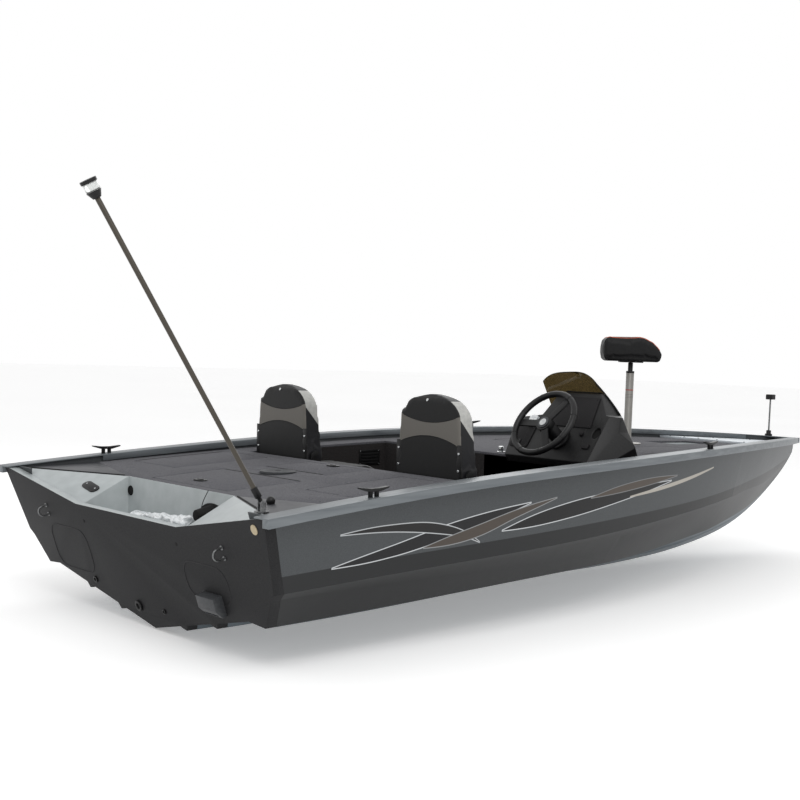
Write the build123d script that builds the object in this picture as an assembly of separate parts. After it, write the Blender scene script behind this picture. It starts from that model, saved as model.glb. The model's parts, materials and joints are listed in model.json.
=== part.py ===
from build123d import *
import os
from math import atan2, cos, degrees, radians, sin, tan

# Aluminium bass boat, in millimetres: x runs forward from the transom's top edge, y to port.
# Heights in this file are above the keel, and every piece drops by the draft when it is written,
# so that the origin lies on the waterline.
draft = 155

# hull lines
hull_length = 4930
stern_half_beam = 1080
mid_half_beam = 1038
mid_station = 1640
plan_fullness = 1.91
plan_corner = 0.963
sheer_stern, sheer_mid, sheer_bow = 592, 738, 693
transom_rake = 17.5
transom_plate = 44
cutout_half_width = 408
cutout_height = 482
knuckle_step_in = 45
knuckle_step_down = 37
strake_depth = 15
strake_width = 30
chine_flat = 104
lift = 8

# gunwale extrusion
cap_overhang = 42
cap_wall_cover = 36
cap_plate = 6
cap_skirt = 34
cap_lip = 6
cap_lip_drop = 24
cap_nose_length = 260
nose_reach = 48

# decks and cockpit
deck_stern, deck_mid, deck_bow = 565, 689, 650
deck_panel = 12
liner = 12
seam = 3
fit_gap = 0.5
cockpit_aft, cockpit_fore = 1150, 2040
side_deck = 248
cockpit_half_width = mid_half_beam - side_deck
floor_height = 290
well_depth_aft = 285
basin_floor = 425
sheet = 4
quarter_plate_fore = 430
bow_plate_length, bow_plate_rise = 770, 14
bow_plate_fore = hull_length - 130
bow_plate_aft = bow_plate_fore - bow_plate_length
bow_strip_width = 190
bow_strip_turn = 9

# deck hatches: name, aft edge, fore edge, inner and outer side, depth of the locker under it
hatch_gap = 5
locker_ledge = 14
locker_rim = 15
hinge_radius = 2.2
cross_hinges = {"hatch_battery": "fore", "hatch_livewell": "aft"}
aft_hatch_inner, aft_hatch_outer = 500, stern_half_beam - 200
hatch_table = (
    ("hatch_aft_port", 560, 1070, aft_hatch_inner, aft_hatch_outer, 240),
    ("hatch_aft_starboard", 560, 1070, -aft_hatch_outer, -aft_hatch_inner, 240),
    ("hatch_battery", 330, 690, -300, 300, 250),
    ("hatch_livewell", 866, 1112, -230, 230, 300),
    ("hatch_bow_port", 2620, 3230, 215, 540, 250),
    ("hatch_bow_starboard", 2620, 3230, -540, -215, 250),
)

# pedal tray in the bow deck
tray_aft, tray_fore, tray_half_width, tray_depth = 3480, 3900, 122, 42

# hollow under the decks: inner face of the stern tanks, and the hold fore of the cockpit
stern_tank, hold_side = 208, 478
stern_tank_y = stern_half_beam - stern_tank
hold_fore, hold_half_width, hold_floor = 3250, mid_half_beam - hold_side, 425

# seats
seat_centre = cockpit_half_width - 245
seat_back_plane = 1170
seat_width = 430
seat_back_height = 398
seat_back_bottom = 600
seat_back_thick_top = 74
seat_pin_above_bottom = 55
seat_taper = 20
seat_crown_drop = 112
cushion_top, cushion_thick, cushion_depth = 580, 92, 470

# console and helm
console_port, console_starboard = 833 - mid_half_beam, 180 - mid_half_beam
console_widest = console_starboard - 26
console_aft, console_fore = 1952, 2460
console_low, console_high = 655, 1000
dash_lean, dash_edge = 35, console_starboard + 93
facet_nose_x, facet_nose_z = 2165, 765
wheel_x, wheel_y, wheel_z = 1902, console_starboard + 323, 860
wheel_diameter, rim_diameter = 362, 30
shaft_radius = 9.5
screen_x, screen_thick, screen_bulge, screen_foot = 2346, 5, 100, 880

# butt seat
post_x = 3175
post_diameter, tube_diameter = 45, 28
post_height, tube_show, tube_grip = 412, 50, 230
butt_seat_length, butt_seat_width, butt_seat_height = 337, 205, 143
butt_seat_heading = -44
pedestal_radius, pedestal_plate = 80, 6
aft_socket_x, socket_bore, socket_depth = 778, 29, 70

# lights
stern_light_x, stern_light_inboard = 104, 208
stern_light_y = stern_light_inboard - stern_half_beam
pole_length, pole_diameter = 1155, 18
pole_lean, pole_heading = 30.3, 170.6
pole_pin_height = 34
bow_light_x, bow_light_y = hull_length - 135, 113
bow_light_height = 205

# small fittings
cleat_stations, cleat_inset = (490, 2760), 40
cleat_length, cleat_rise = 138, 22
cleat_leg_radius, cleat_leg_spread = 9, 15
tie_down_y, tie_down_z = 710, 423
boot_y, boot_z = -265, 498
disc_inboard = 119
bundle_x, bundle_radius = 240, 34


# outline functions
def sheer(x):
    return three_heights(x, sheer_stern, sheer_mid, sheer_bow)


def deck(x):
    return three_heights(x, deck_stern, deck_mid, deck_bow)


def three_heights(x, stern, middle, bow):
    t = x / (hull_length + nose_reach)
    return stern + (4 * middle - 3 * stern - bow) * t + 2 * (stern + bow - 2 * middle) * t * t


def half_beam(x, inset=0.0):
    """Half the beam at the gunwale's outer edge, less an inset that also draws the bow in."""
    stern, middle = stern_half_beam - inset, mid_half_beam - inset
    if x < mid_station:
        return middle + (stern - middle) * ((mid_station - x) / mid_station) ** 2
    reach = hull_length + nose_reach - inset * 1.2
    t = min(1.0, (x - mid_station) / (reach - mid_station))
    return middle * max(0.0, 1 - t ** plan_fullness) ** plan_corner


# hull stations: share of length, keel rise, chine half-width and height, knuckle half-width and height.
# Widths are shares of the hull's half-beam there, heights are shares of the sheer height at the stern.
hull_stations = (
    (-0.030, 0.000, 0.829, 0.260, 0.941, 0.500),
    (0.000, 0.000, 0.829, 0.267, 0.943, 0.507),
    (0.200, 0.000, 0.857, 0.318, 0.965, 0.578),
    (0.345, 0.000, 0.846, 0.358, 0.963, 0.632),
    (0.467, 0.000, 0.786, 0.365, 0.949, 0.690),
    (0.578, 0.002, 0.683, 0.370, 0.942, 0.745),
    (0.680, 0.037, 0.614, 0.392, 0.900, 0.780),
    (0.771, 0.115, 0.530, 0.442, 0.845, 0.795),
    (0.842, 0.233, 0.416, 0.487, 0.780, 0.812),
    (0.903, 0.430, 0.300, 0.590, 0.720, 0.865),
    (0.953, 0.684, 0.300, 0.785, 0.700, 0.955),
    (0.984, 0.893, 0.350, 0.955, 0.700, 1.050),
    (0.9965, 1.010, 0.450, 1.050, 0.720, 1.100),
)


def hull_section(share, keel, chine_y, chine_z, knuckle_y, knuckle_z):
    """One closed cross-section, with pressed strakes, reverse chine and knuckle step."""
    x = share * hull_length
    side = half_beam(x, cap_overhang)
    keel_z, chine_h, knuckle_h = (v * sheer_stern for v in (keel, chine_z, knuckle_z))
    chine, knuckle = chine_y * side, knuckle_y * side
    fade = min(1.0, chine / (0.8 * stern_half_beam))
    top = sheer(x) + 40
    flare = (side - knuckle) / max(1.0, sheer(x) - knuckle_h)
    flat = chine_flat * fade
    inner_chine = (chine - flat, chine_h + lift * fade)

    def bottom(part, drop=0.0):
        return (inner_chine[0] * part, keel_z + (inner_chine[1] - keel_z) * part - drop * fade)

    land = strake_width * fade / max(inner_chine[0], 1.0)
    half = [(0.0, keel_z)]
    for centre in (0.33, 0.655):
        half.append(bottom(centre - land / 2 - 0.02))
        half.append(bottom(centre - land / 2, strake_depth * 0.6))
        half.append(bottom(centre + land / 2, strake_depth * 1.4))
        half.append(bottom(centre + land / 2 + 0.02))
    half.append(inner_chine)
    half.append((chine, chine_h))
    step = (knuckle_h - chine_h) / (0.38 * sheer_stern)
    step = max(0.15, min(1.0, step)) * fade
    half.append((knuckle - knuckle_step_in * step, knuckle_h - knuckle_step_down * step))
    half.append((knuckle, knuckle_h))
    half.append((side + flare * 40, top))
    port = [Vector(x, y, z) for y, z in half]
    starboard = [Vector(x, -y, z) for y, z in reversed(half[1:])]
    return Face(Wire.make_polygon(port + starboard, close=True))


def plan_points(inset, start, end, count=9):
    return [(x, half_beam(x, inset)) for x in (start + (end - start) * i / (count - 1) for i in range(count))]


def deck_plan(inset, start, end, height=1600):
    """Everything inside the boat's outline, drawn in by an inset, between two stations."""
    port = plan_points(inset, start, end)
    starboard = [(x, -y) for x, y in port]
    with BuildSketch() as plan:
        with BuildLine():
            Spline(port)
            Line(port[-1], starboard[-1])
            Spline(starboard)
            Line(starboard[0], port[0])
        make_face()
    return extrude(plan.sketch, height).moved(Location((0, 0, -200)))


def side_band(outer, inner, start, end, side):
    """A strip along one gunwale between two insets, as a tall prism."""
    out = [(x, side * y) for x, y in plan_points(outer, start, end)]
    inn = [(x, side * y) for x, y in plan_points(inner, start, end)]
    with BuildSketch() as plan:
        with BuildLine():
            Spline(out)
            Line(out[-1], inn[-1])
            Spline(inn)
            Line(inn[0], out[0])
        make_face()
    return extrude(plan.sketch, 1600).moved(Location((0, 0, -200)))


def height_band(line, over, under):
    """A layer that follows a height line along the boat, from over to under that line."""
    start, end = -400, hull_length + 470
    middle = (start + end) / 2
    with BuildSketch(Plane.XZ) as band:
        with BuildLine():
            upper = [(x, line(x) + over) for x in (start, middle, end)]
            lower = [(x, line(x) + under) for x in (end, middle, start)]
            ThreePointArc(*upper)
            Line(upper[-1], lower[0])
            ThreePointArc(*lower)
            Line(lower[-1], upper[0])
        make_face()
    return extrude(band.sketch, 1500, both=True)


def block(x0, x1, y0, y1, z0, z1):
    return Pos((x0 + x1) / 2, (y0 + y1) / 2, (z0 + z1) / 2) * Box(x1 - x0, y1 - y0, z1 - z0)


def prism(points, depth, direction=(0, 0, 1)):
    """A flat polygon in space, drawn out along a direction."""
    face = Face(Wire.make_polygon([Vector(*p) for p in points], close=True))
    return extrude(face, depth, dir=direction)


def rod(start, end, radius):
    a, b = Vector(*start), Vector(*end)
    return Plane(origin=(a + b) / 2, z_dir=b - a) * Cylinder(radius, (b - a).length)


# main solids of the boat
print("hull lines")
lines = loft([hull_section(*row) for row in hull_stations])
below_sheer = height_band(sheer, -cap_plate, -1500)
rake = tan(radians(transom_rake))
far = 400
wide = stern_half_beam + 420
past_bow = hull_length + 270


def raked_slab(front, back):
    """Everything between two planes parallel to the transom, measured forward of its aft face."""
    top_z, low_z = sheer_stern + far, -far
    front_run, back_run = front / cos(radians(transom_rake)), back / cos(radians(transom_rake))

    def station(z, run):
        return (sheer_stern - z) * rake + run

    with BuildSketch(Plane.XZ) as side:
        with BuildLine():
            Polyline(
                (station(low_z, front_run), low_z),
                (station(top_z, front_run), top_z),
                (station(top_z, back_run), top_z),
                (station(low_z, back_run), low_z),
                close=True,
            )
        make_face()
    return extrude(side.sketch, 1500, both=True)


shell = lines & below_sheer
print("transom")
side_top = half_beam(0, cap_overhang)
vee = [(side_top + 60, sheer_stern + 10), (cutout_half_width, cutout_height)]
vee_points = [(-400, y, z) for y, z in vee] + [(-400, -y, z) for y, z in reversed(vee)]
vee_points += [(-400, -side_top - 60, 1200), (-400, side_top + 60, 1200)]
vee_cut = prism(vee_points, 900, (1, 0, 0))
transom = shell & raked_slab(0, transom_plate)
hull = shell & raked_slab(transom_plate, past_bow)

# splashwell: a basin behind the cutout, with a sloping shoulder up to each quarter
def on_vee(y):
    """Height of the transom's sloping top edge at one distance from the centreline."""
    (outer, high), (inner, low) = vee
    return low + (high - low) * (abs(y) - inner) / (outer - inner)


def transom_x(z, ahead=0.0):
    return (sheer_stern - z) * rake + ahead / cos(radians(transom_rake))


corner_z = deck(well_depth_aft)
basin_y = cutout_half_width + 8
inner_inset = cap_overhang + cap_wall_cover
plate_y = half_beam(0, inner_inset + 4)
shoulder_low = (transom_x(cutout_height, transom_plate), basin_y, cutout_height)
shoulder_fore = (well_depth_aft, basin_y, corner_z)
shoulder_top = (transom_x(on_vee(plate_y), transom_plate), plate_y, on_vee(plate_y))
plate_fore = (quarter_plate_fore, half_beam(quarter_plate_fore, inner_inset + 1), deck(quarter_plate_fore))
shoulder = [shoulder_low, shoulder_fore, shoulder_top]
quarter = [shoulder_top, shoulder_fore, plate_fore]


def panel(points, side, top, thick):
    """A flat plate through three corners, its top face raised by top, thick downwards."""
    return prism([(x, side * y, z + top) for x, y, z in points], thick, (0, 0, -1))


def on_panel(points, x, y):
    """A plane lying on the sloping plate that is above or below one spot."""
    a, b, c = (Vector(px, py if y > 0 else -py, pz) for px, py, pz in points)
    normal = (b - a).cross(c - a).normalized()
    if normal.Z < 0:
        normal = normal * -1
    z = a.Z - (normal.X * (x - a.X) + normal.Y * (y - a.Y)) / normal.Z
    return Plane(origin=(x, y, z), x_dir=(0, normal.Z, -normal.Y), z_dir=normal)


transom -= vee_cut
print("hull hollows")
deck_zone = prism(
    [
        (plate_fore[0], wide, 0), (plate_fore[0], plate_fore[1], 0), (well_depth_aft, basin_y, 0),
        (well_depth_aft, -basin_y, 0), (plate_fore[0], -plate_fore[1], 0), (plate_fore[0], -wide, 0),
        (past_bow, -wide, 0), (past_bow, wide, 0),
    ],
    1500,
)
inside = deck_plan(inner_inset, 200, hull_length - 60) & height_band(deck, 600, -deck_panel)
hull -= inside & deck_zone
basin_room = block(
    -60, well_depth_aft + sheet, -basin_y - sheet, basin_y + sheet, basin_floor - sheet, 1200
)
for side in (1, -1):
    for points in (shoulder, quarter):
        hull -= panel(points, side, 400, 400 + sheet)
tray_z = deck((tray_aft + tray_fore) / 2) - tray_depth
tray_box = (tray_aft - sheet, tray_fore + sheet, -tray_half_width - sheet, tray_half_width + sheet)
hull -= block(*tray_box, tray_z - sheet, 1200)
socket_z = deck(aft_socket_x)
socket_hole = Pos(aft_socket_x, 0, socket_z) * Cylinder(socket_bore / 2 + 8, 2 * (socket_depth + 20))

# the hull below the decks: two bottoms, three pairs of side tanks and the bow
bottom_z = floor_height - liner
well_aft, well_fore = cockpit_aft - liner, cockpit_fore + liner


def both_sides(start, end, inner, low):
    port = hull & block(start, end, inner, wide, low, wide)
    return Compound(children=[port, mirror(port, Plane.XZ)])


pieces = {
    "hull_bottom_aft": hull & block(-100, well_fore, -wide, wide, -100, bottom_z),
    "hull_bottom_fore": hull & block(well_fore, hold_fore, -wide, wide, -100, hold_floor),
    "hull_sides_aft": both_sides(-100, well_aft, stern_tank_y, bottom_z),
    "hull_sides_mid": both_sides(well_aft, well_fore, cockpit_half_width + liner, bottom_z),
    "hull_sides_fore": both_sides(well_fore, hold_fore, hold_half_width, hold_floor),
    "hull_bow": hull & block(hold_fore, past_bow, -wide, wide, -100, wide),
    "transom": transom,
}

# pale splashwell liner and the smooth quarter plates
print("splashwell and plates")
basin = block(0, well_depth_aft + sheet, -basin_y - sheet, basin_y + sheet, basin_floor - sheet, corner_z)
basin -= block(-60, well_depth_aft, -basin_y, basin_y, basin_floor, 1200)
slope = (corner_z - cutout_height) / (well_depth_aft - shoulder_low[0])
brim = [(-100, cutout_height - slope * (shoulder_low[0] + 100)), (well_depth_aft, corner_z)]
brim += [(900, corner_z), (900, 1500), (-100, 1500)]
basin -= prism([(x, -1500, z) for x, z in brim], 3000, (0, 1, 0))
for side in (1, -1):
    basin += panel(shoulder, side, 0, sheet)
basin &= raked_slab(transom_plate, past_bow)
pieces["splashwell"] = basin
plates = [(panel(quarter, s, 0, sheet) - basin_room) & raked_slab(transom_plate + 0.2, past_bow) for s in (1, -1)]
pieces["quarter_plates"] = Compound(children=plates)

# gunwale extrusions: a flat top plate, an overhanging skirt and an inner lip over the hull's edge
print("gunwales")
cap_split = hull_length + nose_reach - cap_nose_length
cap_under = fit_gap - cap_plate


def gunwale(side):
    """One extrusion: a top plate, an outer skirt and an inner lip, channelled to fit over the hull's edge."""
    lip_edge = inner_inset + 6
    lip_aft, lip_fore = quarter_plate_fore + 20, cap_split - 120
    bar = side_band(0, lip_edge + cap_lip, -8, cap_split, side) & height_band(sheer, 0, -cap_skirt)
    under = height_band(sheer, cap_under, -300)
    bar -= side_band(cap_overhang - 4, lip_edge, -60, cap_split + 40, side) & under
    bar -= side_band(lip_edge - 3, lip_edge + cap_lip + 6, -60, lip_aft, side) & under
    bar -= side_band(lip_edge - 3, lip_edge + cap_lip + 6, lip_fore, cap_split + 40, side) & under
    deep = height_band(sheer, -cap_lip_drop - cap_plate, -300)
    return bar - (side_band(lip_edge - 3, lip_edge + cap_lip + 6, lip_aft - 9, lip_fore + 9, side) & deep)


pieces["gunwales"] = Compound(children=[gunwale(1), gunwale(-1)])
nose_port = plan_points(0, cap_split, hull_length + nose_reach - 34, 6)
nose_starboard = [(x, -y) for x, y in nose_port]
with BuildSketch() as nose_plan:
    with BuildLine():
        Spline(nose_port)
        ThreePointArc(nose_port[-1], (hull_length + nose_reach, 0), nose_starboard[-1])
        Spline(nose_starboard)
        Line(nose_starboard[0], nose_port[0])
    make_face()
nose = extrude(nose_plan.sketch, 1600) & height_band(sheer, 0, -cap_skirt)
nose_room = deck_plan(cap_overhang - 4, cap_split - 60, hull_length - 4)
pieces["bow_cap"] = nose - (nose_room & height_band(sheer, cap_under, -300))

# decks, carpeted panels that follow the deck line, with their lids
print("decks")
deck_layer = height_band(deck, 0, -deck_panel)
panels = (deck_plan(inner_inset + 1.5, 200, hull_length - 60) & deck_layer) & deck_zone
aft_deck = (panels & block(0, cockpit_aft, -wide, wide, 0, 1200)) - basin_room - socket_hole
bow_deck = panels & block(cockpit_fore, bow_plate_fore + 50, -wide, wide, 0, 1200)
bow_deck -= block(tray_aft, tray_fore, -tray_half_width, tray_half_width, 0, 1200)
side_decks = panels & block(cockpit_aft, cockpit_fore, -wide, wide, 0, 1200)
side_decks -= block(0, past_bow, -cockpit_half_width, cockpit_half_width, 0, 1200)
for name, aft, fore, low, high, depth in hatch_table:
    lid = block(aft + hatch_gap, fore - hatch_gap, low + hatch_gap, high - hatch_gap, 0, 1200)
    lid = fillet(lid.edges().filter_by(Axis.Z), 16)
    pieces[name] = lid & deck_layer
    opening = block(aft, fore, low, high, 0, 1200)
    if fore < cockpit_aft:
        aft_deck -= opening
    else:
        bow_deck -= opening
pieces["aft_deck"] = aft_deck
pieces["bow_deck"] = bow_deck
pieces["side_decks"] = side_decks

# a tub under each lid, hung from the deck by a rim that the lid rests on
tubs = []
for name, aft, fore, low, high, depth in hatch_table:
    inner = (aft + locker_ledge, fore - locker_ledge, low + locker_ledge, high - locker_ledge)
    outer = (inner[0] - sheet, inner[1] + sheet, inner[2] - sheet, inner[3] + sheet)
    tub_z = deck((aft + fore) / 2) - depth
    tub = block(*outer, tub_z - sheet, 1200) & height_band(deck, -deck_panel, -1500)
    rim_limit = stern_tank_y if fore < cockpit_aft else hold_half_width
    low_rim, high_rim = max(low - locker_rim, 1 - rim_limit), min(high + locker_rim, rim_limit - 1)
    rim = block(aft - locker_rim, fore + locker_rim, low_rim, high_rim, 0, 1200)
    tub += rim & height_band(deck, -deck_panel, -deck_panel - sheet)
    tubs.append(tub - block(*inner, tub_z, 1200))
pieces["locker_tubs"] = Compound(children=tubs)

# hinge pins in the gaps along the lids: at the outboard edge, or across the boat at the edge named
pins = []
for name, aft, fore, low, high, depth in hatch_table:
    edge = hatch_gap / 2
    start, end = aft + hatch_gap, fore - hatch_gap
    if name in cross_hinges:
        x = fore - edge if cross_hinges[name] == "fore" else aft + edge
        z = deck(end if cross_hinges[name] == "fore" else start)
        pins.append(rod((x, low + 24, z), (x, high - 24, z), hinge_radius))
    else:
        y = high - edge if high > 0 else low + edge
        rise = (deck(end) - deck(start)) / (end - start)
        pin_start = (start + 20, y, deck(start) + 20 * rise)
        pin_end = (end - 20, y, deck(end) - 20 * rise)
        pins.append(rod(pin_start, pin_end, hinge_radius))
pieces["hatch_hinges"] = Compound(children=pins)
for name, x, y in (("latch_livewell", 1080, 0), ("latch_battery", 420, 50)):
    latch = extrude(SlotOverall(74, 42), 4) + Pos(0, 0, 2) * extrude(SlotOverall(34, 18), 5)
    pieces[name] = Pos(x, y, deck(x) + 1) * Rot(0, 0, 90) * latch - height_band(deck, 0, -300)

# cockpit liner: floor, side walls and bulkheads, all under the deck panels
under_deck = height_band(deck, -deck_panel, -1500)
wall = block(cockpit_aft, cockpit_fore, cockpit_half_width, cockpit_half_width + liner, floor_height, 1200)
wall &= under_deck
walls = [wall, mirror(wall, Plane.XZ)]
liner_y = cockpit_half_width + liner
walls += [
    block(x, x + liner, -liner_y, liner_y, floor_height, 1200) & under_deck
    for x in (cockpit_aft - liner, cockpit_fore)
]
pieces["cockpit_walls"] = Compound(children=walls)
pieces["cockpit_floor"] = block(
    cockpit_aft - liner, cockpit_fore + liner, -liner_y, liner_y, floor_height - liner, floor_height,
)

# pedal tray and bow plates
tray = block(*tray_box, tray_z - sheet, 1200) & under_deck
pieces["pedal_tray"] = tray - block(tray_aft, tray_fore, -tray_half_width, tray_half_width, tray_z, 1200)
plate = deck_plan(inner_inset + 10, bow_plate_aft - 530, bow_plate_fore) & height_band(deck, bow_plate_rise, 0)
plate &= block(bow_plate_aft, bow_plate_fore, -wide, wide, 0, 1200)
strip_seam = Pos(bow_plate_aft, bow_strip_width, 600) * Rot(0, 0, -bow_strip_turn) * Box(3000, seam, 1000)
hole_places = ((bow_plate_aft + 200, 190), (bow_plate_aft + 300, 165))
holes = [Pos(x, y, 600) * extrude(SlotOverall(60, 26), 400) for x, y in hole_places]
pieces["bow_plates"] = plate - strip_seam - holes[0] - holes[1]

# pedestal socket in the aft deck
socket_top = socket_z + pedestal_plate + 3
socket = Pos(aft_socket_x, 0, socket_top - 20) * Cylinder(pedestal_radius, 40) - height_band(deck, 0, -300)
socket_middle = socket_z + fit_gap - socket_depth / 2
socket += Pos(aft_socket_x, 0, socket_middle) * Cylinder(socket_bore / 2 + 7, socket_depth)
socket -= Pos(aft_socket_x, 0, socket_z) * Cylinder(socket_bore / 2, 2 * (socket_depth - pedestal_plate))
pieces["pedestal_socket"] = socket

# cleats: a bar with tapered horns on two legs
print("fittings")


def cleat(x, side):
    y = half_beam(x) - cleat_inset
    turn = degrees(atan2(half_beam(x + 50) - half_beam(x - 50), 100))
    tip = cleat_length / 2
    with BuildSketch(Plane.XZ) as profile:
        with BuildLine():
            Polyline(
                (-tip, 15), (-20, 10), (20, 10), (tip, 15), (tip, 10), (26, -2), (-26, -2), (-tip, 10),
                close=True,
            )
        make_face()
    bar = Pos(0, 0, cleat_rise) * extrude(profile.sketch, 10, both=True)
    for dx in (-cleat_leg_spread, cleat_leg_spread):
        bar += Pos(dx, 0, cleat_rise / 2 - 20) * Cylinder(cleat_leg_radius, cleat_rise + 40)
    return (Pos(x, side * y, sheer(x)) * Rot(0, 0, side * turn) * bar) - height_band(sheer, 0, -1500)


pieces["cleats"] = Compound(children=[cleat(x, side) for x in cleat_stations for side in (1, -1)])

# transom fittings, placed on the raked plane by height and side
out_of_transom = (-cos(radians(transom_rake)), 0, -sin(radians(transom_rake)))


def on_transom(y, z):
    return Plane(origin=(transom_x(z), y, z), x_dir=(0, 1, 0), z_dir=out_of_transom)


def tie_down():
    """A bent rod on two washers, standing on the plane z = 0."""
    span = 21
    bend = Pos(0, 0, 22) * Rot(90, 0, 0) * Torus(span, 4) & block(-40, 40, -10, 10, 22, 60)
    for dx in (-span, span):
        bend += Pos(dx, 0, 11) * Cylinder(4, 22) + Pos(dx, 0, 1.5) * Cylinder(9, 3)
    return bend


def pieces_on_transom(spots, shape):
    return Compound(children=[on_transom(y, z) * shape for y, z in spots])


tie_down_spots = [(s * tie_down_y, tie_down_z) for s in (1, -1)]
pieces["tie_downs"] = pieces_on_transom(tie_down_spots, Rot(0, 0, 90) * tie_down())
drains = []
for y, z, radius, stand, bore in ((83, 86, 24, 9, 13), (426, 146, 15, 7, 8), (-124, 95, 11, 6, 6)):
    ring = Pos(0, 0, stand / 2) * Cylinder(radius, stand) - Pos(0, 0, stand / 2 + 2) * Cylinder(bore, stand)
    drains.append(on_transom(y, z) * ring)
pieces["drains"] = Compound(children=drains)
sonar = Pos(0, 0, 21) * Box(84, 122, 42) - Pos(30, 0, 46) * Rot(0, 32, 0) * Box(90, 140, 30)
sonar -= Pos(6, -20, 16) * Box(66, 122, 24)
pieces["sonar_cover"] = on_transom(-556, 205) * Rot(0, 0, 90) * sonar
disc = Cylinder(19, 3, align=(Align.CENTER, Align.CENTER, Align.MIN))
pieces["blank_disc"] = on_transom(disc_inboard - stern_half_beam, 541) * disc

# small fittings on the quarters and in the splashwell
cover = extrude(SlotOverall(112, 46), 5)
fittings = [on_panel(shoulder, 153, 504) * cover]
knob = Cylinder(15, 16, align=(Align.CENTER, Align.CENTER, Align.MIN)) + Pos(0, 0, 12) * Sphere(17)
knob &= block(-30, 30, -30, 30, 0, 60)
fittings.append(on_panel(quarter, 255, -709) * knob)
pieces["quarter_fittings"] = Compound(children=fittings)
boot_plane = Plane(origin=(well_depth_aft, boot_y, boot_z), x_dir=(0, 1, 0), z_dir=(-1, 0, 0))
boot = extrude(boot_plane * Ellipse(88, 44), 5)
boot += boot_plane * Pos(0, 0, 40) * Cone(40, 22, 76)
pieces["rigging_boot"] = boot
bundle_z = basin_floor + bundle_radius
bundle = rod((bundle_x, -160, bundle_z), (bundle_x, 300, bundle_z), bundle_radius)
pieces["wrapped_bundle"] = fillet(bundle.edges(), bundle_radius * 0.6)

# stern light: a clevis base on the starboard quarter plate and a folding pole
light_z = on_panel(quarter, stern_light_x, stern_light_y).origin.Z
fold_heading = radians(pole_heading)
fold_axis = (sin(fold_heading), -cos(fold_heading), 0)
pin_z = light_z + pole_pin_height
lean = radians(pole_lean)
pole_dir = (sin(lean) * cos(fold_heading), sin(lean) * sin(fold_heading), cos(lean))
clevis = Plane(origin=(stern_light_x, stern_light_y, pin_z), x_dir=fold_axis, z_dir=(0, 0, 1))
light_base = Pos(0, 0, -pole_pin_height) * Cylinder(26, 12)
for s in (1, -1):
    light_base += Pos(s * 13, 0, -pole_pin_height / 2) * Box(6, 20, pole_pin_height)
    light_base += Pos(s * 13, 0, 0) * Rot(0, 90, 0) * Cylinder(10, 6)
light_base += Rot(0, 90, 0) * Cylinder(4, 30)
light_base = (clevis * light_base) - panel(quarter, -1, 0, 400) - panel(shoulder, -1, 0, 400)
pieces["stern_light_base"] = light_base
pole_plane = Plane(origin=(stern_light_x, stern_light_y, pin_z), x_dir=fold_axis, z_dir=pole_dir)
pole = Rot(0, 90, 0) * Cylinder(9, 18) + Pos(0, 0, 28) * Cylinder(8, 40) + Pos(0, 0, 44) * Cylinder(13, 40)
pole += Pos(0, 0, 60 + (pole_length - 60) / 2) * Cylinder(pole_diameter / 2, pole_length - 60)
pole -= Rot(0, 90, 0) * Cylinder(4.05, 40)
pieces["stern_light_pole"] = pole_plane * pole
lamp = Pos(0, 0, 12) * Cone(14, 26, 24) + Pos(0, 0, 38) * Cylinder(24, 28) + Pos(0, 0, 57) * Cylinder(28, 12)
pieces["stern_light_lamp"] = pole_plane * Pos(0, 0, pole_length) * lamp

# bow light: a plug-in stem with a two-colour head on the port gunwale
bow_light_z = sheer(bow_light_x)
stand = Pos(0, 0, 3) * Cylinder(24, 20) + Pos(0, 0, 24) * Cylinder(16, 24)
stand = (Pos(bow_light_x, bow_light_y, bow_light_z) * stand) - height_band(sheer, 0, -300)
pieces["bow_light_base"] = stand
stem = Pos(0, 0, 36 + bow_light_height / 2) * Cylinder(5.5, bow_light_height)
pieces["bow_light_stem"] = Pos(bow_light_x, bow_light_y, bow_light_z) * stem
head = Pos(0, 0, 36 + bow_light_height + 17) * Box(52, 52, 34)
head = fillet(head.edges().filter_by(Axis.Z), 12)
pieces["bow_light_head"] = Pos(bow_light_x, bow_light_y, bow_light_z) * head

# seats: base, cushion, hinge brackets and a folding back
print("seats")
pin_x, seat_pin_z = seat_back_plane + 46, seat_back_bottom + seat_pin_above_bottom
back_top = seat_back_bottom + seat_back_height
low_radius = seat_pin_above_bottom
front_low = pin_x + low_radius
front_high = seat_back_plane + seat_back_thick_top


def seat_back(side):
    with BuildSketch(Plane.XZ) as profile:
        with BuildLine():
            Polyline(
                (seat_back_plane, seat_pin_z), (seat_back_plane, back_top - 26),
                (seat_back_plane + 16, back_top), (front_high - 18, back_top),
                (front_high, back_top - 24), (front_low, seat_pin_z), close=True,
            )
        make_face()
        with Locations((pin_x, seat_pin_z)):
            Circle(low_radius)
        with Locations((seat_back_plane - 50, seat_pin_z)):
            Rectangle(100, 300, mode=Mode.SUBTRACT)
    back = extrude(profile.sketch, seat_width / 2, both=True)
    half = seat_width / 2
    shoulder = half - seat_taper
    shoulder_z = back_top - seat_crown_drop
    turns = [radians(turn) for turn in range(0, 181, 20)]
    crown = [(-shoulder * cos(turn), shoulder_z + seat_crown_drop * sin(turn)) for turn in turns]
    with BuildSketch(Plane.YZ.offset(seat_back_plane - 20)) as outline:
        with BuildLine():
            Polyline(
                (shoulder, shoulder_z), (half, seat_pin_z), (half, 500), (-half, 500), (-half, seat_pin_z),
                (-shoulder, shoulder_z),
            )
            Spline(crown, tangents=((0, 1), (0, -1)))
        make_face()
    back &= extrude(outline.sketch, 200)
    for s in (1, -1):
        back -= Pos(pin_x, s * seat_width / 2, seat_pin_z) * Rot(90, 0, 0) * Cylinder(6.05, 44)
    return Pos(0, side * seat_centre, 0) * back


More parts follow.
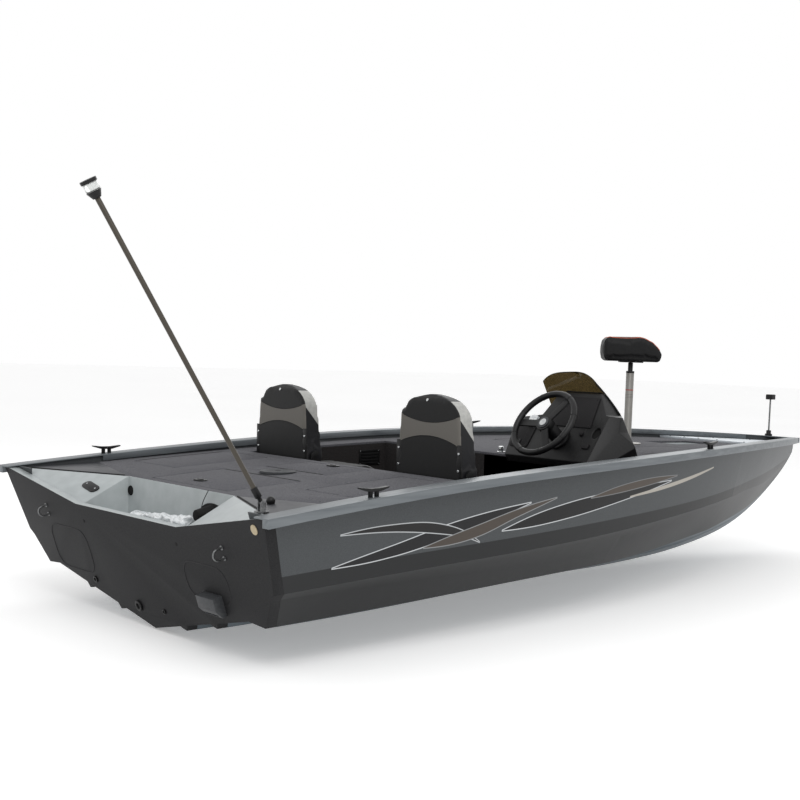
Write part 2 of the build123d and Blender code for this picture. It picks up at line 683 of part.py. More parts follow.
def seat_bracket(side, s):
    """One hinge plate beside the back, with the pin it carries."""
    inner = seat_width / 2 + 5
    y = s * (inner + 4)
    base_z = cushion_top - cushion_thick
    plate = block(pin_x - 26, pin_x + 70, y - 4, y + 4, base_z, seat_pin_z)
    plate += Pos(pin_x, y, seat_pin_z) * Rot(90, 0, 0) * Cylinder(26, 8)
    plate -= Pos(pin_x + 90, y, seat_pin_z + 30) * Rot(0, 40, 0) * Box(90, 20, 160)
    plate += Pos(pin_x, s * (inner - 8), seat_pin_z) * Rot(90, 0, 0) * Cylinder(6, 26)
    return Pos(0, side * seat_centre, 0) * plate


hinges, cushions = [], []
for side, name in ((1, "port"), (-1, "starboard")):
    y = side * seat_centre
    pieces["seat_back_" + name] = seat_back(side)
    hinges += [seat_bracket(side, s) for s in (1, -1)]
    cushion = block(
        seat_back_plane + 5, seat_back_plane + 5 + cushion_depth, y - seat_width / 2, y + seat_width / 2,
        cushion_top - cushion_thick, cushion_top,
    )
    cushions.append(fillet(cushion.edges().filter_by(Axis.Z), 30))
pieces["seat_hinges"] = Compound(children=hinges)
pieces["seat_cushions"] = Compound(children=cushions)
pieces["seat_bases"] = Compound(
    children=[
        block(
            seat_back_plane + 5, seat_back_plane + cushion_depth, s * seat_centre - 230, s * seat_centre + 230,
            floor_height, cushion_top - cushion_thick,
        )
        for s in (1, -1)
    ]
)

# console: a faceted shell, cut from two outlines
print("console")
run = tan(radians(dash_lean))
dash_foot = (console_aft, console_low + 35)
dash_top = (console_aft + (console_high - dash_foot[1]) * run, console_high)
console_side = [
    dash_foot, dash_top, (console_fore, console_high), (console_fore, 600),
    (cockpit_fore - 4, 600), (cockpit_fore - 4, console_low), (console_aft + 12, console_low),
]
console_front = [
    (console_port - 35, 600), (console_port - 35, console_low), (console_port, 790), (console_port - 22, 872),
    (console_port - 140, 888), (console_port - 187, 1010), (console_starboard + 218, 1010),
    (console_starboard + 116, 905), (console_starboard + 58, 897), (console_starboard + 44, 830),
    (console_widest, facet_nose_z), (console_starboard + 16, 705), (console_starboard + 16, 600),
]
screen_ends = (console_port - 45, console_starboard + 88)
screen_lean = (-0.52, 0, 0.854)
screen_start = 600
screen_run = (760 - screen_start) * 0.52 / 0.854


def screen_arc(back):
    """Plan curve of the windscreen at its start height, a distance behind its front face."""
    port, starboard = screen_ends
    ends_x = screen_x - 70 + screen_run - back
    return ThreePointArc((ends_x, port), (ends_x + screen_bulge, (port + starboard) / 2), (ends_x, starboard))


with BuildSketch(Plane.XY.offset(screen_start)) as ahead:
    with BuildLine():
        curve = screen_arc(screen_thick + fit_gap)
        tail = curve @ 1 + (-190, -195)
        Polyline(curve @ 1, tail, (3200, tail.Y), (3200, 0), ((curve @ 0).X, 0), curve @ 0)
    make_face()
console = prism([(x, -1500, z) for x, z in console_side], 3000, (0, 1, 0))
console &= prism([(1000, y, z) for y, z in console_front], 3000, (1, 0, 0))
console -= extrude(ahead.sketch, 600, dir=screen_lean)
low, high = (Vector(console_aft + (z - dash_foot[1]) * run, dash_edge, z) for z in (690, 880))
facet = (high - low).cross(Vector(facet_nose_x, console_widest, facet_nose_z) - low)
console -= Plane(origin=low, z_dir=-facet) * Box(900, 900, 300, align=(Align.CENTER, Align.CENTER, Align.MIN))
cockpit_room = block(1000, cockpit_fore - 4, -cockpit_half_width + 4, cockpit_half_width - 4, 0, 1200)
console -= height_band(deck, 0, -1500) - cockpit_room

# dash panels lie on the leaning face; its own plane has x across to port and y up the slope
dash_out = (-cos(radians(dash_lean)), 0, sin(radians(dash_lean)))


def on_dash(y, z):
    x = console_aft + (z - dash_foot[1]) * run
    return Plane(origin=(x, y, z), x_dir=(0, -1, 0), z_dir=dash_out)


with BuildSketch() as blank:
    with BuildLine():
        Polyline((-150, -78), (150, -78), (122, 92), (-96, 92), close=True)
    make_face()
gauge_panel = on_dash(wheel_y - 5, 905) * extrude(blank.sketch, 5)
left_panel = on_dash(console_port - 87, 790) * extrude(RectangleRounded(120, 150, 14), 4)
key_switch = on_dash(wheel_y - 120, 812) * Cylinder(12, 12, align=(Align.CENTER, Align.CENTER, Align.MIN))
rocker = on_dash(wheel_y - 180, 758) * extrude(RectangleRounded(40, 26, 5), 8)
pieces["console_body"] = console - on_dash(wheel_y - 203, 822) * Pos(0, 0, -14) * extrude(Ellipse(22, 30), 40)
pieces["dash_panels"] = Compound(children=[gauge_panel, left_panel, key_switch, rocker])
keys = on_dash(console_port - 115, 850) * Pos(0, 0, 4) * extrude(RectangleRounded(52, 60, 10), 16)
pieces["key_pouch"] = keys

# helm column and the wheel on its shaft
wheel_stand = (wheel_x - dash_foot[0]) * dash_out[0] + (wheel_z - dash_foot[1]) * dash_out[2]
helm_plane = Plane(
    origin=(wheel_x - dash_out[0] * wheel_stand, wheel_y, wheel_z - dash_out[2] * wheel_stand),
    x_dir=(0, -1, 0), z_dir=dash_out,
)
low_align = (Align.CENTER, Align.CENTER, Align.MIN)
hub_back = wheel_stand - 30
column = Cylinder(58, 16, align=low_align) + Cylinder(34, hub_back - 5, align=low_align)
column += Cylinder(shaft_radius, hub_back + 20, align=low_align)
pieces["helm_column"] = (helm_plane * column) - gauge_panel
rim_centre = wheel_diameter / 2 - rim_diameter / 2
wheel = Pos(0, 0, wheel_stand) * Torus(rim_centre, rim_diameter / 2)
pieces["wheel_rim"] = helm_plane * wheel
hub = Pos(0, 0, hub_back) * Cylinder(40, 34, align=low_align)
for angle in (62, 182, 302):
    arm = Pos(rim_centre / 2 + 8, 0, wheel_stand - 5) * Box(rim_centre - 16, 34, 9)
    hub += Rot(0, 0, angle) * arm
hub -= Pos(0, 0, wheel_stand) * Torus(rim_centre, rim_diameter / 2)
hub -= Cylinder(shaft_radius + 0.05, hub_back + 22, align=low_align)
pieces["wheel_spokes"] = helm_plane * hub

# smoked windscreen standing on the hood
with BuildSketch(Plane.XY.offset(screen_start)) as screen_plan:
    with BuildLine():
        front = screen_arc(0)
        back = screen_arc(screen_thick)
        Line(front @ 0, back @ 0)
        Line(front @ 1, back @ 1)
    make_face()
screen = extrude(screen_plan.sketch, 700, dir=screen_lean)
port, starboard = screen_ends[0] - 46, screen_ends[1] + 18
with BuildSketch(Plane.YZ.offset(1000)) as outline:
    with BuildLine():
        Polyline((starboard + 146, 1052), (starboard, 905), (starboard, screen_foot), (port, screen_foot),
                 (port - 4, 1050))
        Spline((port - 4, 1050), (port - 54, 1086), (port - 150, 1102), (starboard + 205, 1096),
               (starboard + 146, 1052))
    make_face()
pieces["windscreen"] = screen & extrude(outline.sketch, 3000)

# butt seat on a height-adjustable pedestal
print("butt seat")
post_z = deck(post_x)
post_top = post_z + post_height
seat_under = post_top + tube_show
foot = Pos(post_x, 0, post_z) * Cylinder(pedestal_radius, 2 * pedestal_plate)
foot += Pos(post_x, 0, post_z + post_height / 2) * Cylinder(post_diameter / 2, post_height)
foot -= Pos(post_x, 0, post_top) * Cylinder(tube_diameter / 2 + 0.05, 2 * (tube_grip + 60))
pieces["pedestal_post"] = foot - height_band(deck, 0, -300)
tube_length = tube_grip + tube_show - 1
tube = Pos(post_x, 0, post_top - tube_grip) * Cylinder(tube_diameter / 2, tube_length, align=low_align)
tube += Pos(post_x, 0, seat_under - 1) * Cylinder(9.5, 26, align=low_align)
pieces["pedestal_tube"] = tube
length, width, height = butt_seat_length, butt_seat_width, butt_seat_height
under = Pos(0, 0, 3) * Box(130, 110, 6)
under -= Cylinder(9.55, 40)
turned = Pos(post_x, 0, seat_under) * Rot(0, 0, butt_seat_heading)
pieces["butt_seat_plate"] = turned * under
with BuildSketch(Plane.XZ) as saddle:
    with BuildLine():
        Line((-length / 2, 20), (-length / 2, height - 34))
        ThreePointArc(
            (-length / 2, height - 34), (-length / 2 + 10, height - 10), (-length / 2 + 34, height - 4),
        )
        Line((-length / 2 + 34, height - 4), (length * 0.12, height))
        ThreePointArc((length * 0.12, height), (length * 0.37, height * 0.74), (length / 2, height * 0.32))
        Line((length / 2, height * 0.32), (length / 2 - 10, 6))
        Line((length / 2 - 10, 6), (-length / 2 + 12, 6))
        Line((-length / 2 + 12, 6), (-length / 2, 20))
    make_face()
pad = extrude(saddle.sketch, width / 2, both=True)
pad -= Cylinder(9.55, 60)
pieces["butt_seat_pad"] = turned * pad

# grille on the port cockpit wall
grille = block(1856, 1997, cockpit_half_width - 6, cockpit_half_width, 549, 631)
for i in range(4):
    grille -= block(1868, 1985, cockpit_half_width - 10, cockpit_half_width - 3, 562 + i * 17, 568 + i * 17)
pieces["side_grille"] = grille

os.makedirs("parts", exist_ok=True)
for name, piece in pieces.items():
    lowered = [solid.moved(Location((0, 0, -draft))) for solid in piece.solids()]
    print(name, len(lowered), round(sum(solid.volume for solid in lowered) / 1e6, 3))
    export_step(Compound(children=lowered) if len(lowered) > 1 else lowered[0], f"parts/{name}.step")
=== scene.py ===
import json
import math
import bpy
from mathutils import Matrix, Vector
from mathutils.bvhtree import BVHTree


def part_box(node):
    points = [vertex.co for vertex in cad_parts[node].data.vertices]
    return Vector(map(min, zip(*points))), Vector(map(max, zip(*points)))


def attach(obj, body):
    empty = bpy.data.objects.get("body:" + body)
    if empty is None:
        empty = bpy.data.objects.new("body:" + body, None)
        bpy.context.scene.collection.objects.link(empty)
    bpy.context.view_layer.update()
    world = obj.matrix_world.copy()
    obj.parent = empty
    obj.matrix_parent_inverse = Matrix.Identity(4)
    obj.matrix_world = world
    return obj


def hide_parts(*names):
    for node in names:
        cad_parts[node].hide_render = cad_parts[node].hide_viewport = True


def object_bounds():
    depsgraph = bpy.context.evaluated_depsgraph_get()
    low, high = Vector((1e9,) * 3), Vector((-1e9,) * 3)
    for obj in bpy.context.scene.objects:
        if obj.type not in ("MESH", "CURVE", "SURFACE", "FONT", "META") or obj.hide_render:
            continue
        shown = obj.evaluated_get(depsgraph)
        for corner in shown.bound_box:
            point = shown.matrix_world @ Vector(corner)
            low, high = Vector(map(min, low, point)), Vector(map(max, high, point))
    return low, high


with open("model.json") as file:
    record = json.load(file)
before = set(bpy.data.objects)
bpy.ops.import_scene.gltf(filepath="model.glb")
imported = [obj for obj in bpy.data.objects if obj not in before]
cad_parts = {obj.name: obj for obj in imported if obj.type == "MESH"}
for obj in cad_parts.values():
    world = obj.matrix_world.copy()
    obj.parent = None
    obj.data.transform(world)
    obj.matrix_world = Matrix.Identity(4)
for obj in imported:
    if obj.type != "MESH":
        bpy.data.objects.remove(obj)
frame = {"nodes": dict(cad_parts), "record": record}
cadLow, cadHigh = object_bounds()
nodes = frame["nodes"]
record = frame["record"]
bodyOf = {node: body for body, members in record["behaviour"]["bodies"].items() for node in members}
slotOf = {part["node"]: part["material_slot"] for part in record["subparts"]}
print("frame loaded")


# colours and shader nodes
def linear(code):
    parts = [int(code[i:i + 2], 16) / 255 for i in (1, 3, 5)]
    return [p / 12.92 if p <= 0.04045 else ((p + 0.055) / 1.055) ** 2.4 for p in parts] + [1]


def addNode(tree, kind, inputs=None, **settings):
    node = tree.nodes.new(kind)
    for name, value in settings.items():
        setattr(node, name, value)
    for name, value in (inputs or {}).items():
        if isinstance(value, bpy.types.NodeSocket):
            tree.links.new(value, node.inputs[name])
        else:
            node.inputs[name].default_value = value
    return node


def calc(tree, operation, first, second=0.0):
    return addNode(tree, "ShaderNodeMath", {0: first, 1: second}, operation=operation).outputs[0]


def step(tree, value, soft=0.0008):  # 1 where the value is above zero, with a soft edge in metres
    return addNode(tree, "ShaderNodeMapRange", {"Value": value, "From Min": -soft, "From Max": soft}).outputs[0]


def follow(tree, x, points):  # a smooth height line through points, x from 0 to 5 m and heights from 0 to 1 m
    curve = addNode(tree, "ShaderNodeFloatCurve", {"Value": calc(tree, "DIVIDE", x, 5.0)})
    line = curve.mapping.curves[0]
    line.points[0].location = (points[0][0] / 5, points[0][1])
    line.points[1].location = (points[-1][0] / 5, points[-1][1])
    for px, pz in points[1:-1]:
        line.points.new(px / 5, pz)
    curve.mapping.update()
    return curve.outputs[0]


def coordinates(tree):
    place = addNode(tree, "ShaderNodeTexCoord").outputs["Object"]
    split = addNode(tree, "ShaderNodeSeparateXYZ", {"Vector": place})
    return split.outputs["X"], split.outputs["Y"], split.outputs["Z"]


def makeMaterial(name, tones, rough, metallic=0.0, spots=20.0, bumps=(), stretch=(1, 1, 1), sockets=None):
    # tones are the darkest and lightest colour, spots the patch size in mm, bumps pairs of size and depth in mm
    material = bpy.data.materials.new(name)
    material.use_nodes = True
    tree = material.node_tree
    surface = tree.nodes["Principled BSDF"]
    surface.inputs["Metallic"].default_value = metallic
    surface.inputs["Roughness"].default_value = rough
    for socket, value in (sockets or {}).items():
        surface.inputs[socket].default_value = value
    place = addNode(tree, "ShaderNodeTexCoord").outputs["Object"]
    place = addNode(tree, "ShaderNodeMapping", {"Vector": place, "Scale": stretch}).outputs["Vector"]
    noise = addNode(tree, "ShaderNodeTexNoise", {"Vector": place, "Scale": 1000 / spots, "Detail": 3.0})
    share = addNode(tree, "ShaderNodeMapRange", {"Value": noise.outputs[0], "From Min": 0.32, "From Max": 0.68})
    mixed = addNode(tree, "ShaderNodeMix", {0: share.outputs[0], 6: linear(tones[0]), 7: linear(tones[1])},
                    data_type="RGBA")
    tree.links.new(mixed.outputs[2], surface.inputs["Base Color"])
    normal = None
    for size, depth in bumps:
        grain = addNode(tree, "ShaderNodeTexNoise", {"Vector": place, "Scale": 1000 / size, "Detail": 2.0})
        bump = addNode(tree, "ShaderNodeBump", {"Height": grain.outputs[0], "Distance": depth / 1000})
        if normal:
            tree.links.new(normal, bump.inputs["Normal"])
        normal = bump.outputs["Normal"]
    if normal:
        tree.links.new(normal, surface.inputs["Normal"])
    return material


def paintOver(material, mask, code, socket="Base Color"):
    # the mask function draws a zone from object coordinates, which takes another colour or value
    tree = material.node_tree
    surface = tree.nodes["Principled BSDF"]
    zone = mask(tree, *coordinates(tree))
    if socket == "Base Color":
        under = surface.inputs[socket].links[0].from_socket
        mixed = addNode(tree, "ShaderNodeMix", {0: zone, 6: under, 7: linear(code)}, data_type="RGBA")
        tree.links.new(mixed.outputs[2], surface.inputs[socket])
    else:
        low = surface.inputs[socket].default_value
        spread = addNode(tree, "ShaderNodeMapRange", {"Value": zone, "To Min": low, "To Max": code})
        tree.links.new(spread.outputs[0], surface.inputs[socket])


print("materials")
paint = {
    "upperGrey": ("#3c3f41", "#484b4d"),
    "lowerCharcoal": "#1f2021",
    "bottomGrey": "#5d666c",
    "lineHeight": 0.210,
    "lineRise": 0.044,
}
# sprayed metallic enamel on sheet aluminium: mid grey, satin, with a faint orange-peel ripple
hullPaint = makeMaterial("sprayedHullEnamel", paint["upperGrey"], 0.46, 0.1, 3, ((5, 0.12), (60, 0.5)),
                         sockets={"Specular IOR Level": 0.3})
# sprayed textured coat: nearly black, matt, fine pebbled grain
transomPaint = makeMaterial("sprayedTextureCoat", ("#18181a", "#232324"), 0.66, 0.0, 5, ((3, 0.25), (14, 0.2)),
                            sockets={"Specular IOR Level": 0.22})
# extruded and satin anodised aluminium: silver-grey with soft streaks along its length
gunwaleMetal = makeMaterial("extrudedGunwaleAluminium", ("#62676b", "#72777a"), 0.42, 0.5, 18, ((2, 0.03),),
                            (0.05, 1, 1))
# powder coated sheet: pale grey, smooth, slight unevenness
linerPaint = makeMaterial("powderCoatedLiner", ("#a2a8a9", "#adb3b4"), 0.38, 0.05, 60, ((4, 0.06),))
# dark powder coated plate: satin graphite
darkPlate = makeMaterial("powderCoatedPlate", ("#36373a", "#414246"), 0.45, 0.1, 30, ((3, 0.08),),
                         sockets={"Specular IOR Level": 0.3})
# needle-punched marine carpet: speckled mid grey pile
carpet = makeMaterial("needlePunchedCarpet", ("#37373b", "#66666b"), 0.95, 0.0, 5, ((3, 1.2), (25, 1.0)),
                      sockets={"Sheen Weight": 0.1, "Specular IOR Level": 0.1})
# the same carpet in the footwell, darker: the darker tone is painted shade of the sunken cockpit
shadedCarpet = makeMaterial("needlePunchedDarkCarpet", ("#1b1a1a", "#3a3737"), 0.97, 0.0, 5,
                          ((3, 1.2), (25, 1.0)),
                          sockets={"Sheen Weight": 0.05, "Specular IOR Level": 0.05})
# injection moulded plastic: black with a fine spark-eroded grain
blackPlastic = makeMaterial("mouldedBlackPlastic", ("#0b0b0c", "#131314"), 0.42, 0.0, 8, ((1.2, 0.08),),
                            sockets={"Specular IOR Level": 0.28})
# expanded vinyl over foam: black, soft satin, leather grain
blackVinyl = makeMaterial("expandedBlackVinyl", ("#0f0f10", "#171718"), 0.58, 0.0, 12, ((2.2, 0.22), (40, 0.4)),
                          sockets={"Specular IOR Level": 0.22})
# expanded vinyl over foam: light grey side panels, the other seat colours are painted over it
seatVinyl = makeMaterial("expandedGreyVinyl", ("#a4a4a1", "#b2b2ae"), 0.48, 0.0, 14, ((2.2, 0.2), (45, 0.6)),
                         sockets={"Specular IOR Level": 0.25})
# thermoformed plastic shell: near black, satin, with a pebbled grain
consoleShell = makeMaterial("thermoformedShell", ("#0c0c0d", "#151516"), 0.42, 0.0, 10, ((1.6, 0.14),),
                            sockets={"Specular IOR Level": 0.26})
# matt textured panels on the console
panelPlastic = makeMaterial("texturedPanelPlastic", ("#161517", "#1f1e1f"), 0.66, 0.0, 4, ((1.4, 0.2),),
                            sockets={"Specular IOR Level": 0.2})
# cast acrylic sheet with a brown smoke tint, clear and glossy
smoked = makeMaterial("castSmokedAcrylic", ("#4c4029", "#41371f"), 0.04, 0.0, 120, ((300, 0.4),),
                      sockets={"Transmission Weight": 0.92, "IOR": 1.49})
# moulded clear polycarbonate lens
lens = makeMaterial("mouldedClearLens", ("#eef0ee", "#dfe2e0"), 0.08, 0.0, 30, ((6, 0.1),),
                    sockets={"Transmission Weight": 0.85, "IOR": 1.5})
# polished chrome plate with faint smudges
chrome = makeMaterial("polishedChrome", ("#b4b6b8", "#c8caca"), 0.2, 1.0, 15, ((20, 0.05),))
# bent stainless rod, dulled by salt and handling
steelRod = makeMaterial("brushedStainlessRod", ("#5c5d5e", "#7b7c7d"), 0.36, 0.9, 6, ((3, 0.05),))
# anodised tube, brushed round: warm grey
tubeMetal = makeMaterial("brushedAnodisedTube", ("#3e3a34", "#4b463e"), 0.4, 0.5, 2, ((1.5, 0.02),), (1, 1, 6))
# extruded aluminium post, matt anodised: warm light grey
postMetal = makeMaterial("mattAnodisedPost", ("#7f7d79", "#8d8b87"), 0.42, 0.5, 4, ((1.5, 0.03),), (1, 1, 0.1))
# moulded plastic: mid grey
greyPlastic = makeMaterial("mouldedGreyPlastic", ("#36373a", "#424446"), 0.5, 0.0, 10, ((1.5, 0.08),),
                           sockets={"Specular IOR Level": 0.3})
# thin crinkled film: milky white with sharp creases
film = makeMaterial("crinkledWhiteFilm", ("#d9dee1", "#f2f4f5"), 0.22, 0.0, 16, ((14, 4.0), (5, 1.0)),
                    sockets={"Coat Weight": 0.4})
# moulded rubber: black and dull
rubber = makeMaterial("mouldedRubber", ("#0b0b0b", "#131313"), 0.7, 0.0, 10, ((2, 0.1),),
                      sockets={"Specular IOR Level": 0.2})
# foam-backed vinyl on the wheel: dark, leather grain with a soft sheen
wheelGrip = makeMaterial("mouldedWheelGrip", ("#0d0d0e", "#161617"), 0.4, 0.0, 8, ((2, 0.2),),
                         sockets={"Specular IOR Level": 0.3})
# brushed aluminium plate of the bow: pale silver, soft sheen
bowMetal = makeMaterial("brushedAluminiumPlate", ("#b4bbc1", "#c6ccd1"), 0.4, 0.3, 20, ((2, 0.05),),
                        (1, 0.1, 1))
# beige plastic button
beige = makeMaterial("mouldedBeigePlastic", ("#a59679", "#b3a587"), 0.55, 0.0, 8, ((2, 0.1),))
# woven binding and piping, orange
orange = makeMaterial("extrudedOrangePiping", ("#b4481a", "#c9571f"), 0.5, 0.0, 6, ((1.5, 0.1),))
# enamelled ring, red
redRing = makeMaterial("enamelledRedRing", ("#9c2a20", "#ad3327"), 0.4, 0.0, 6, ((2, 0.05),))


# paint zones of the hull: charcoal under the paint line, a grey bottom under the chine, side stripes
def belowLine(tree, x, y, z):
    rise = calc(tree, "MULTIPLY", x, paint["lineRise"])
    return step(tree, calc(tree, "SUBTRACT", calc(tree, "ADD", rise, paint["lineHeight"]), z), 0.0015)


def belowChine(tree, x, y, z):
    chine = follow(tree, x, ((0, 0.003), (0.986, 0.033), (1.70, 0.057), (2.30, 0.061), (2.85, 0.064),
                             (3.35, 0.077), (3.80, 0.107), (4.15, 0.133), (4.45, 0.194), (4.70, 0.310),
                             (5.0, 0.52)))
    return step(tree, calc(tree, "SUBTRACT", chine, z), 0.002)


def stripe(centre, widths):
    # a swoosh between two heights: a centre line and half its width along the boat, in metres
    def mask(tree, x, y, z):
        away = calc(tree, "ABSOLUTE", calc(tree, "SUBTRACT", z, follow(tree, x, centre)))
        inside = step(tree, calc(tree, "SUBTRACT", follow(tree, x, widths), away), 0.001)
        after = step(tree, calc(tree, "SUBTRACT", x, centre[0][0]), 0.001)
        before = step(tree, calc(tree, "SUBTRACT", centre[-1][0], x), 0.001)
        return calc(tree, "MULTIPLY", inside, calc(tree, "MULTIPLY", after, before))
    return mask


def widened(widths, extra):
    return [(x, w + extra) for x, w in widths]


paintOver(hullPaint, belowLine, paint["lowerCharcoal"])
swooshes = {
    "lowerArc": ([(0.34, 0.222), (0.62, 0.262), (0.95, 0.330), (1.36, 0.408)],
                 [(0.34, 0.0), (0.60, 0.020), (0.95, 0.026), (1.36, 0.0)], "#18181a", "#c9ccce"),
    "upperArc": ([(0.36, 0.345), (0.62, 0.352), (0.86, 0.332), (1.08, 0.262)],
                 [(0.36, 0.0), (0.60, 0.012), (0.86, 0.018), (1.08, 0.0)], "#1c1b1b", "#b9bcbe"),
    "bronzeWedge": ([(0.78, 0.262), (1.02, 0.300), (1.30, 0.372), (1.52, 0.420)],
                    [(0.78, 0.0), (1.02, 0.022), (1.30, 0.014), (1.52, 0.0)], "#47403a", "#8a8c8d"),
    "middleDart": ([(1.20, 0.300), (1.55, 0.352), (2.05, 0.410), (2.40, 0.448)],
                   [(1.20, 0.0), (1.50, 0.030), (2.05, 0.022), (2.40, 0.0)], "#151516", "#c9ccce"),
    "bronzeTail": ([(1.75, 0.405), (2.10, 0.446), (2.45, 0.470)],
                   [(1.75, 0.0), (2.05, 0.016), (2.45, 0.0)], "#4a423b", "#77797a"),
    "foreStreak": ([(2.05, 0.392), (2.45, 0.432), (2.85, 0.488)],
                   [(2.05, 0.0), (2.40, 0.006), (2.85, 0.0)], "#a9a49b", "#a9a49b"),
}
for centre, widths, fill, edge in swooshes.values():
    paintOver(hullPaint, stripe(centre, widened(widths, 0.0035)), edge)
    paintOver(hullPaint, stripe(centre, widths), fill)
paintOver(hullPaint, belowChine, paint["bottomGrey"])

# seat back zones, measured from each seat's centre plane and heights in metres
seat = {"centre": 0.545, "aftPlane": 1.170, "half": 0.195, "crown": 0.718, "crownSag": 0.034, "arch": 0.659,
        "archDrop": 0.038, "wedgeTop": 0.745, "wedgeSlope": 1.2, "topHalf": 0.125}


def fromSeatCentre(tree, y):
    return calc(tree, "SUBTRACT", calc(tree, "ABSOLUTE", y), seat["centre"])


def bowed(tree, y, height, rise):
    part = calc(tree, "DIVIDE", fromSeatCentre(tree, y), seat["half"])
    return calc(tree, "ADD", calc(tree, "MULTIPLY", calc(tree, "MULTIPLY", part, part), rise), height)


def aftFace(tree, x):
    return step(tree, calc(tree, "SUBTRACT", seat["aftPlane"] + 0.009, x), 0.0005)


def seatWedge(tree, x, y, z):
    drop = calc(tree, "MULTIPLY", calc(tree, "SUBTRACT", x, seat["aftPlane"]), seat["wedgeSlope"])
    return step(tree, calc(tree, "SUBTRACT", calc(tree, "SUBTRACT", seat["wedgeTop"], drop), z))


def seatTop(tree, x, y, z):
    away = calc(tree, "ABSOLUTE", fromSeatCentre(tree, y))
    middle = step(tree, calc(tree, "SUBTRACT", seat["topHalf"], away))
    return calc(tree, "MULTIPLY", middle, step(tree, calc(tree, "SUBTRACT", z, seat["crown"])))


def seatMiddle(tree, x, y, z):
    return aftFace(tree, x)


def seatCrown(tree, x, y, z):
    over = step(tree, calc(tree, "SUBTRACT", z, bowed(tree, y, seat["crown"], seat["crownSag"])))
    return calc(tree, "MULTIPLY", aftFace(tree, x), over)


def seatLow(tree, x, y, z):
    under = step(tree, calc(tree, "SUBTRACT", bowed(tree, y, seat["arch"], -seat["archDrop"]), z))
    return calc(tree, "MULTIPLY", aftFace(tree, x), under)


for zone, code in ((seatWedge, "#17171a"), (seatTop, "#151517"), (seatMiddle, "#67645f"),
                   (seatCrown, "#0f0f10"), (seatLow, "#0d0d0e")):
    paintOver(seatVinyl, zone, code)


# modelling helpers
def deselect():
    bpy.ops.object.select_all(action="DESELECT")


def activate(*objs):
    deselect()
    for obj in objs:
        obj.select_set(True)
    bpy.context.view_layer.objects.active = objs[0]


def applyModifier(obj, kind, **settings):
    activate(obj)
    modifier = obj.modifiers.new(kind.lower(), kind)
    for name, value in settings.items():
        setattr(modifier, name, value)
    bpy.ops.object.modifier_apply(modifier=modifier.name)


def soften(obj, width, segments=2, angle=28):
    if width:
        applyModifier(obj, "BEVEL", width=width, segments=segments, limit_method="ANGLE",
                      angle_limit=math.radians(angle), use_clamp_overlap=True)
    activate(obj)
    bpy.ops.object.shade_smooth_by_angle(angle=math.radians(35))


def place(obj, name, material, body, slot, matrix=None):
    # the piece's place goes into its mesh, then it rides on a body
    activate(obj)
    bpy.ops.object.transform_apply(location=True, rotation=True, scale=True)
    if matrix is not None:
        obj.matrix_world = matrix
        bpy.ops.object.transform_apply(location=True, rotation=True, scale=True)
    obj.name = name
    obj.data.name = name
    if material is not None:
        obj.data.materials.clear()
        obj.data.materials.append(material)
    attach(obj, body)
    return obj


def dress(name, members, material, bevel=0.0, segments=2, flatten=True):
    # one piece made from copies of CAD nodes, merged, with softened edges
    parts = []
    for member in members:
        part = bpy.data.objects.new(name, nodes[member].data.copy())
        bpy.context.scene.collection.objects.link(part)
        parts.append(part)
    activate(*parts)
    if len(parts) > 1:
        bpy.ops.object.join()
    obj = bpy.context.view_layer.objects.active
    bpy.ops.object.mode_set(mode="EDIT")
    bpy.ops.mesh.select_all(action="SELECT")
    bpy.ops.mesh.customdata_custom_splitnormals_clear()
    bpy.ops.mesh.remove_doubles(threshold=0.00005)
    if flatten:
        bpy.ops.mesh.dissolve_limited(angle_limit=math.radians(0.25))
    bpy.ops.mesh.normals_make_consistent(inside=False)
    bpy.ops.object.mode_set(mode="OBJECT")
    soften(obj, bevel, segments)
    place(obj, name, material, bodyOf[members[0]], slotOf[members[0]])
    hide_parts(*members)
    return obj


def paintFaces(obj, material, test):
    obj.data.materials.append(material)
    index = len(obj.data.materials) - 1
    for face in obj.data.polygons:
        if test(face.center, face.normal):
            face.material_index = index


trees = {}


def treeOf(mesh):
    return BVHTree.FromPolygons([v.co for v in mesh.vertices], [p.vertices for p in mesh.polygons])


def surfaceHit(node, start, direction):
    # the point and normal where a line first meets a CAD node
    if node not in trees:
        trees[node] = treeOf(nodes[node].data)
    point, normal, face, reach = trees[node].ray_cast(Vector(start), Vector(direction).normalized())
    if point is None:
        raise RuntimeError("no surface of " + node + " at " + str(tuple(start)))
    if normal.dot(Vector(direction)) > 0:
        normal = -normal
    return point, normal


def standing(point, normal, turn=0.0):
    # a matrix whose z is the normal, at a point
    spin = Vector(normal).to_track_quat("Z", "Y").to_matrix().to_4x4()
    return Matrix.Translation(point) @ spin @ Matrix.Rotation(turn, 4, "Z")


def box(size, bevel=0.0, segments=2):
    bpy.ops.mesh.primitive_cube_add(size=1, location=(0, 0, 0))
    obj = bpy.context.object
    obj.scale = size
    bpy.ops.object.transform_apply(scale=True)
    soften(obj, bevel, segments)
    return obj


def drum(radius, height, bevel=0.0, sides=32, top=None):
    if top is None:
        bpy.ops.mesh.primitive_cylinder_add(vertices=sides, radius=radius, depth=height,
                                            location=(0, 0, height / 2))
    else:
        bpy.ops.mesh.primitive_cone_add(vertices=sides, radius1=radius, radius2=top, depth=height,
                                        location=(0, 0, height / 2))
    bpy.ops.object.transform_apply(location=True)
    obj = bpy.context.object
    soften(obj, bevel)
    return obj


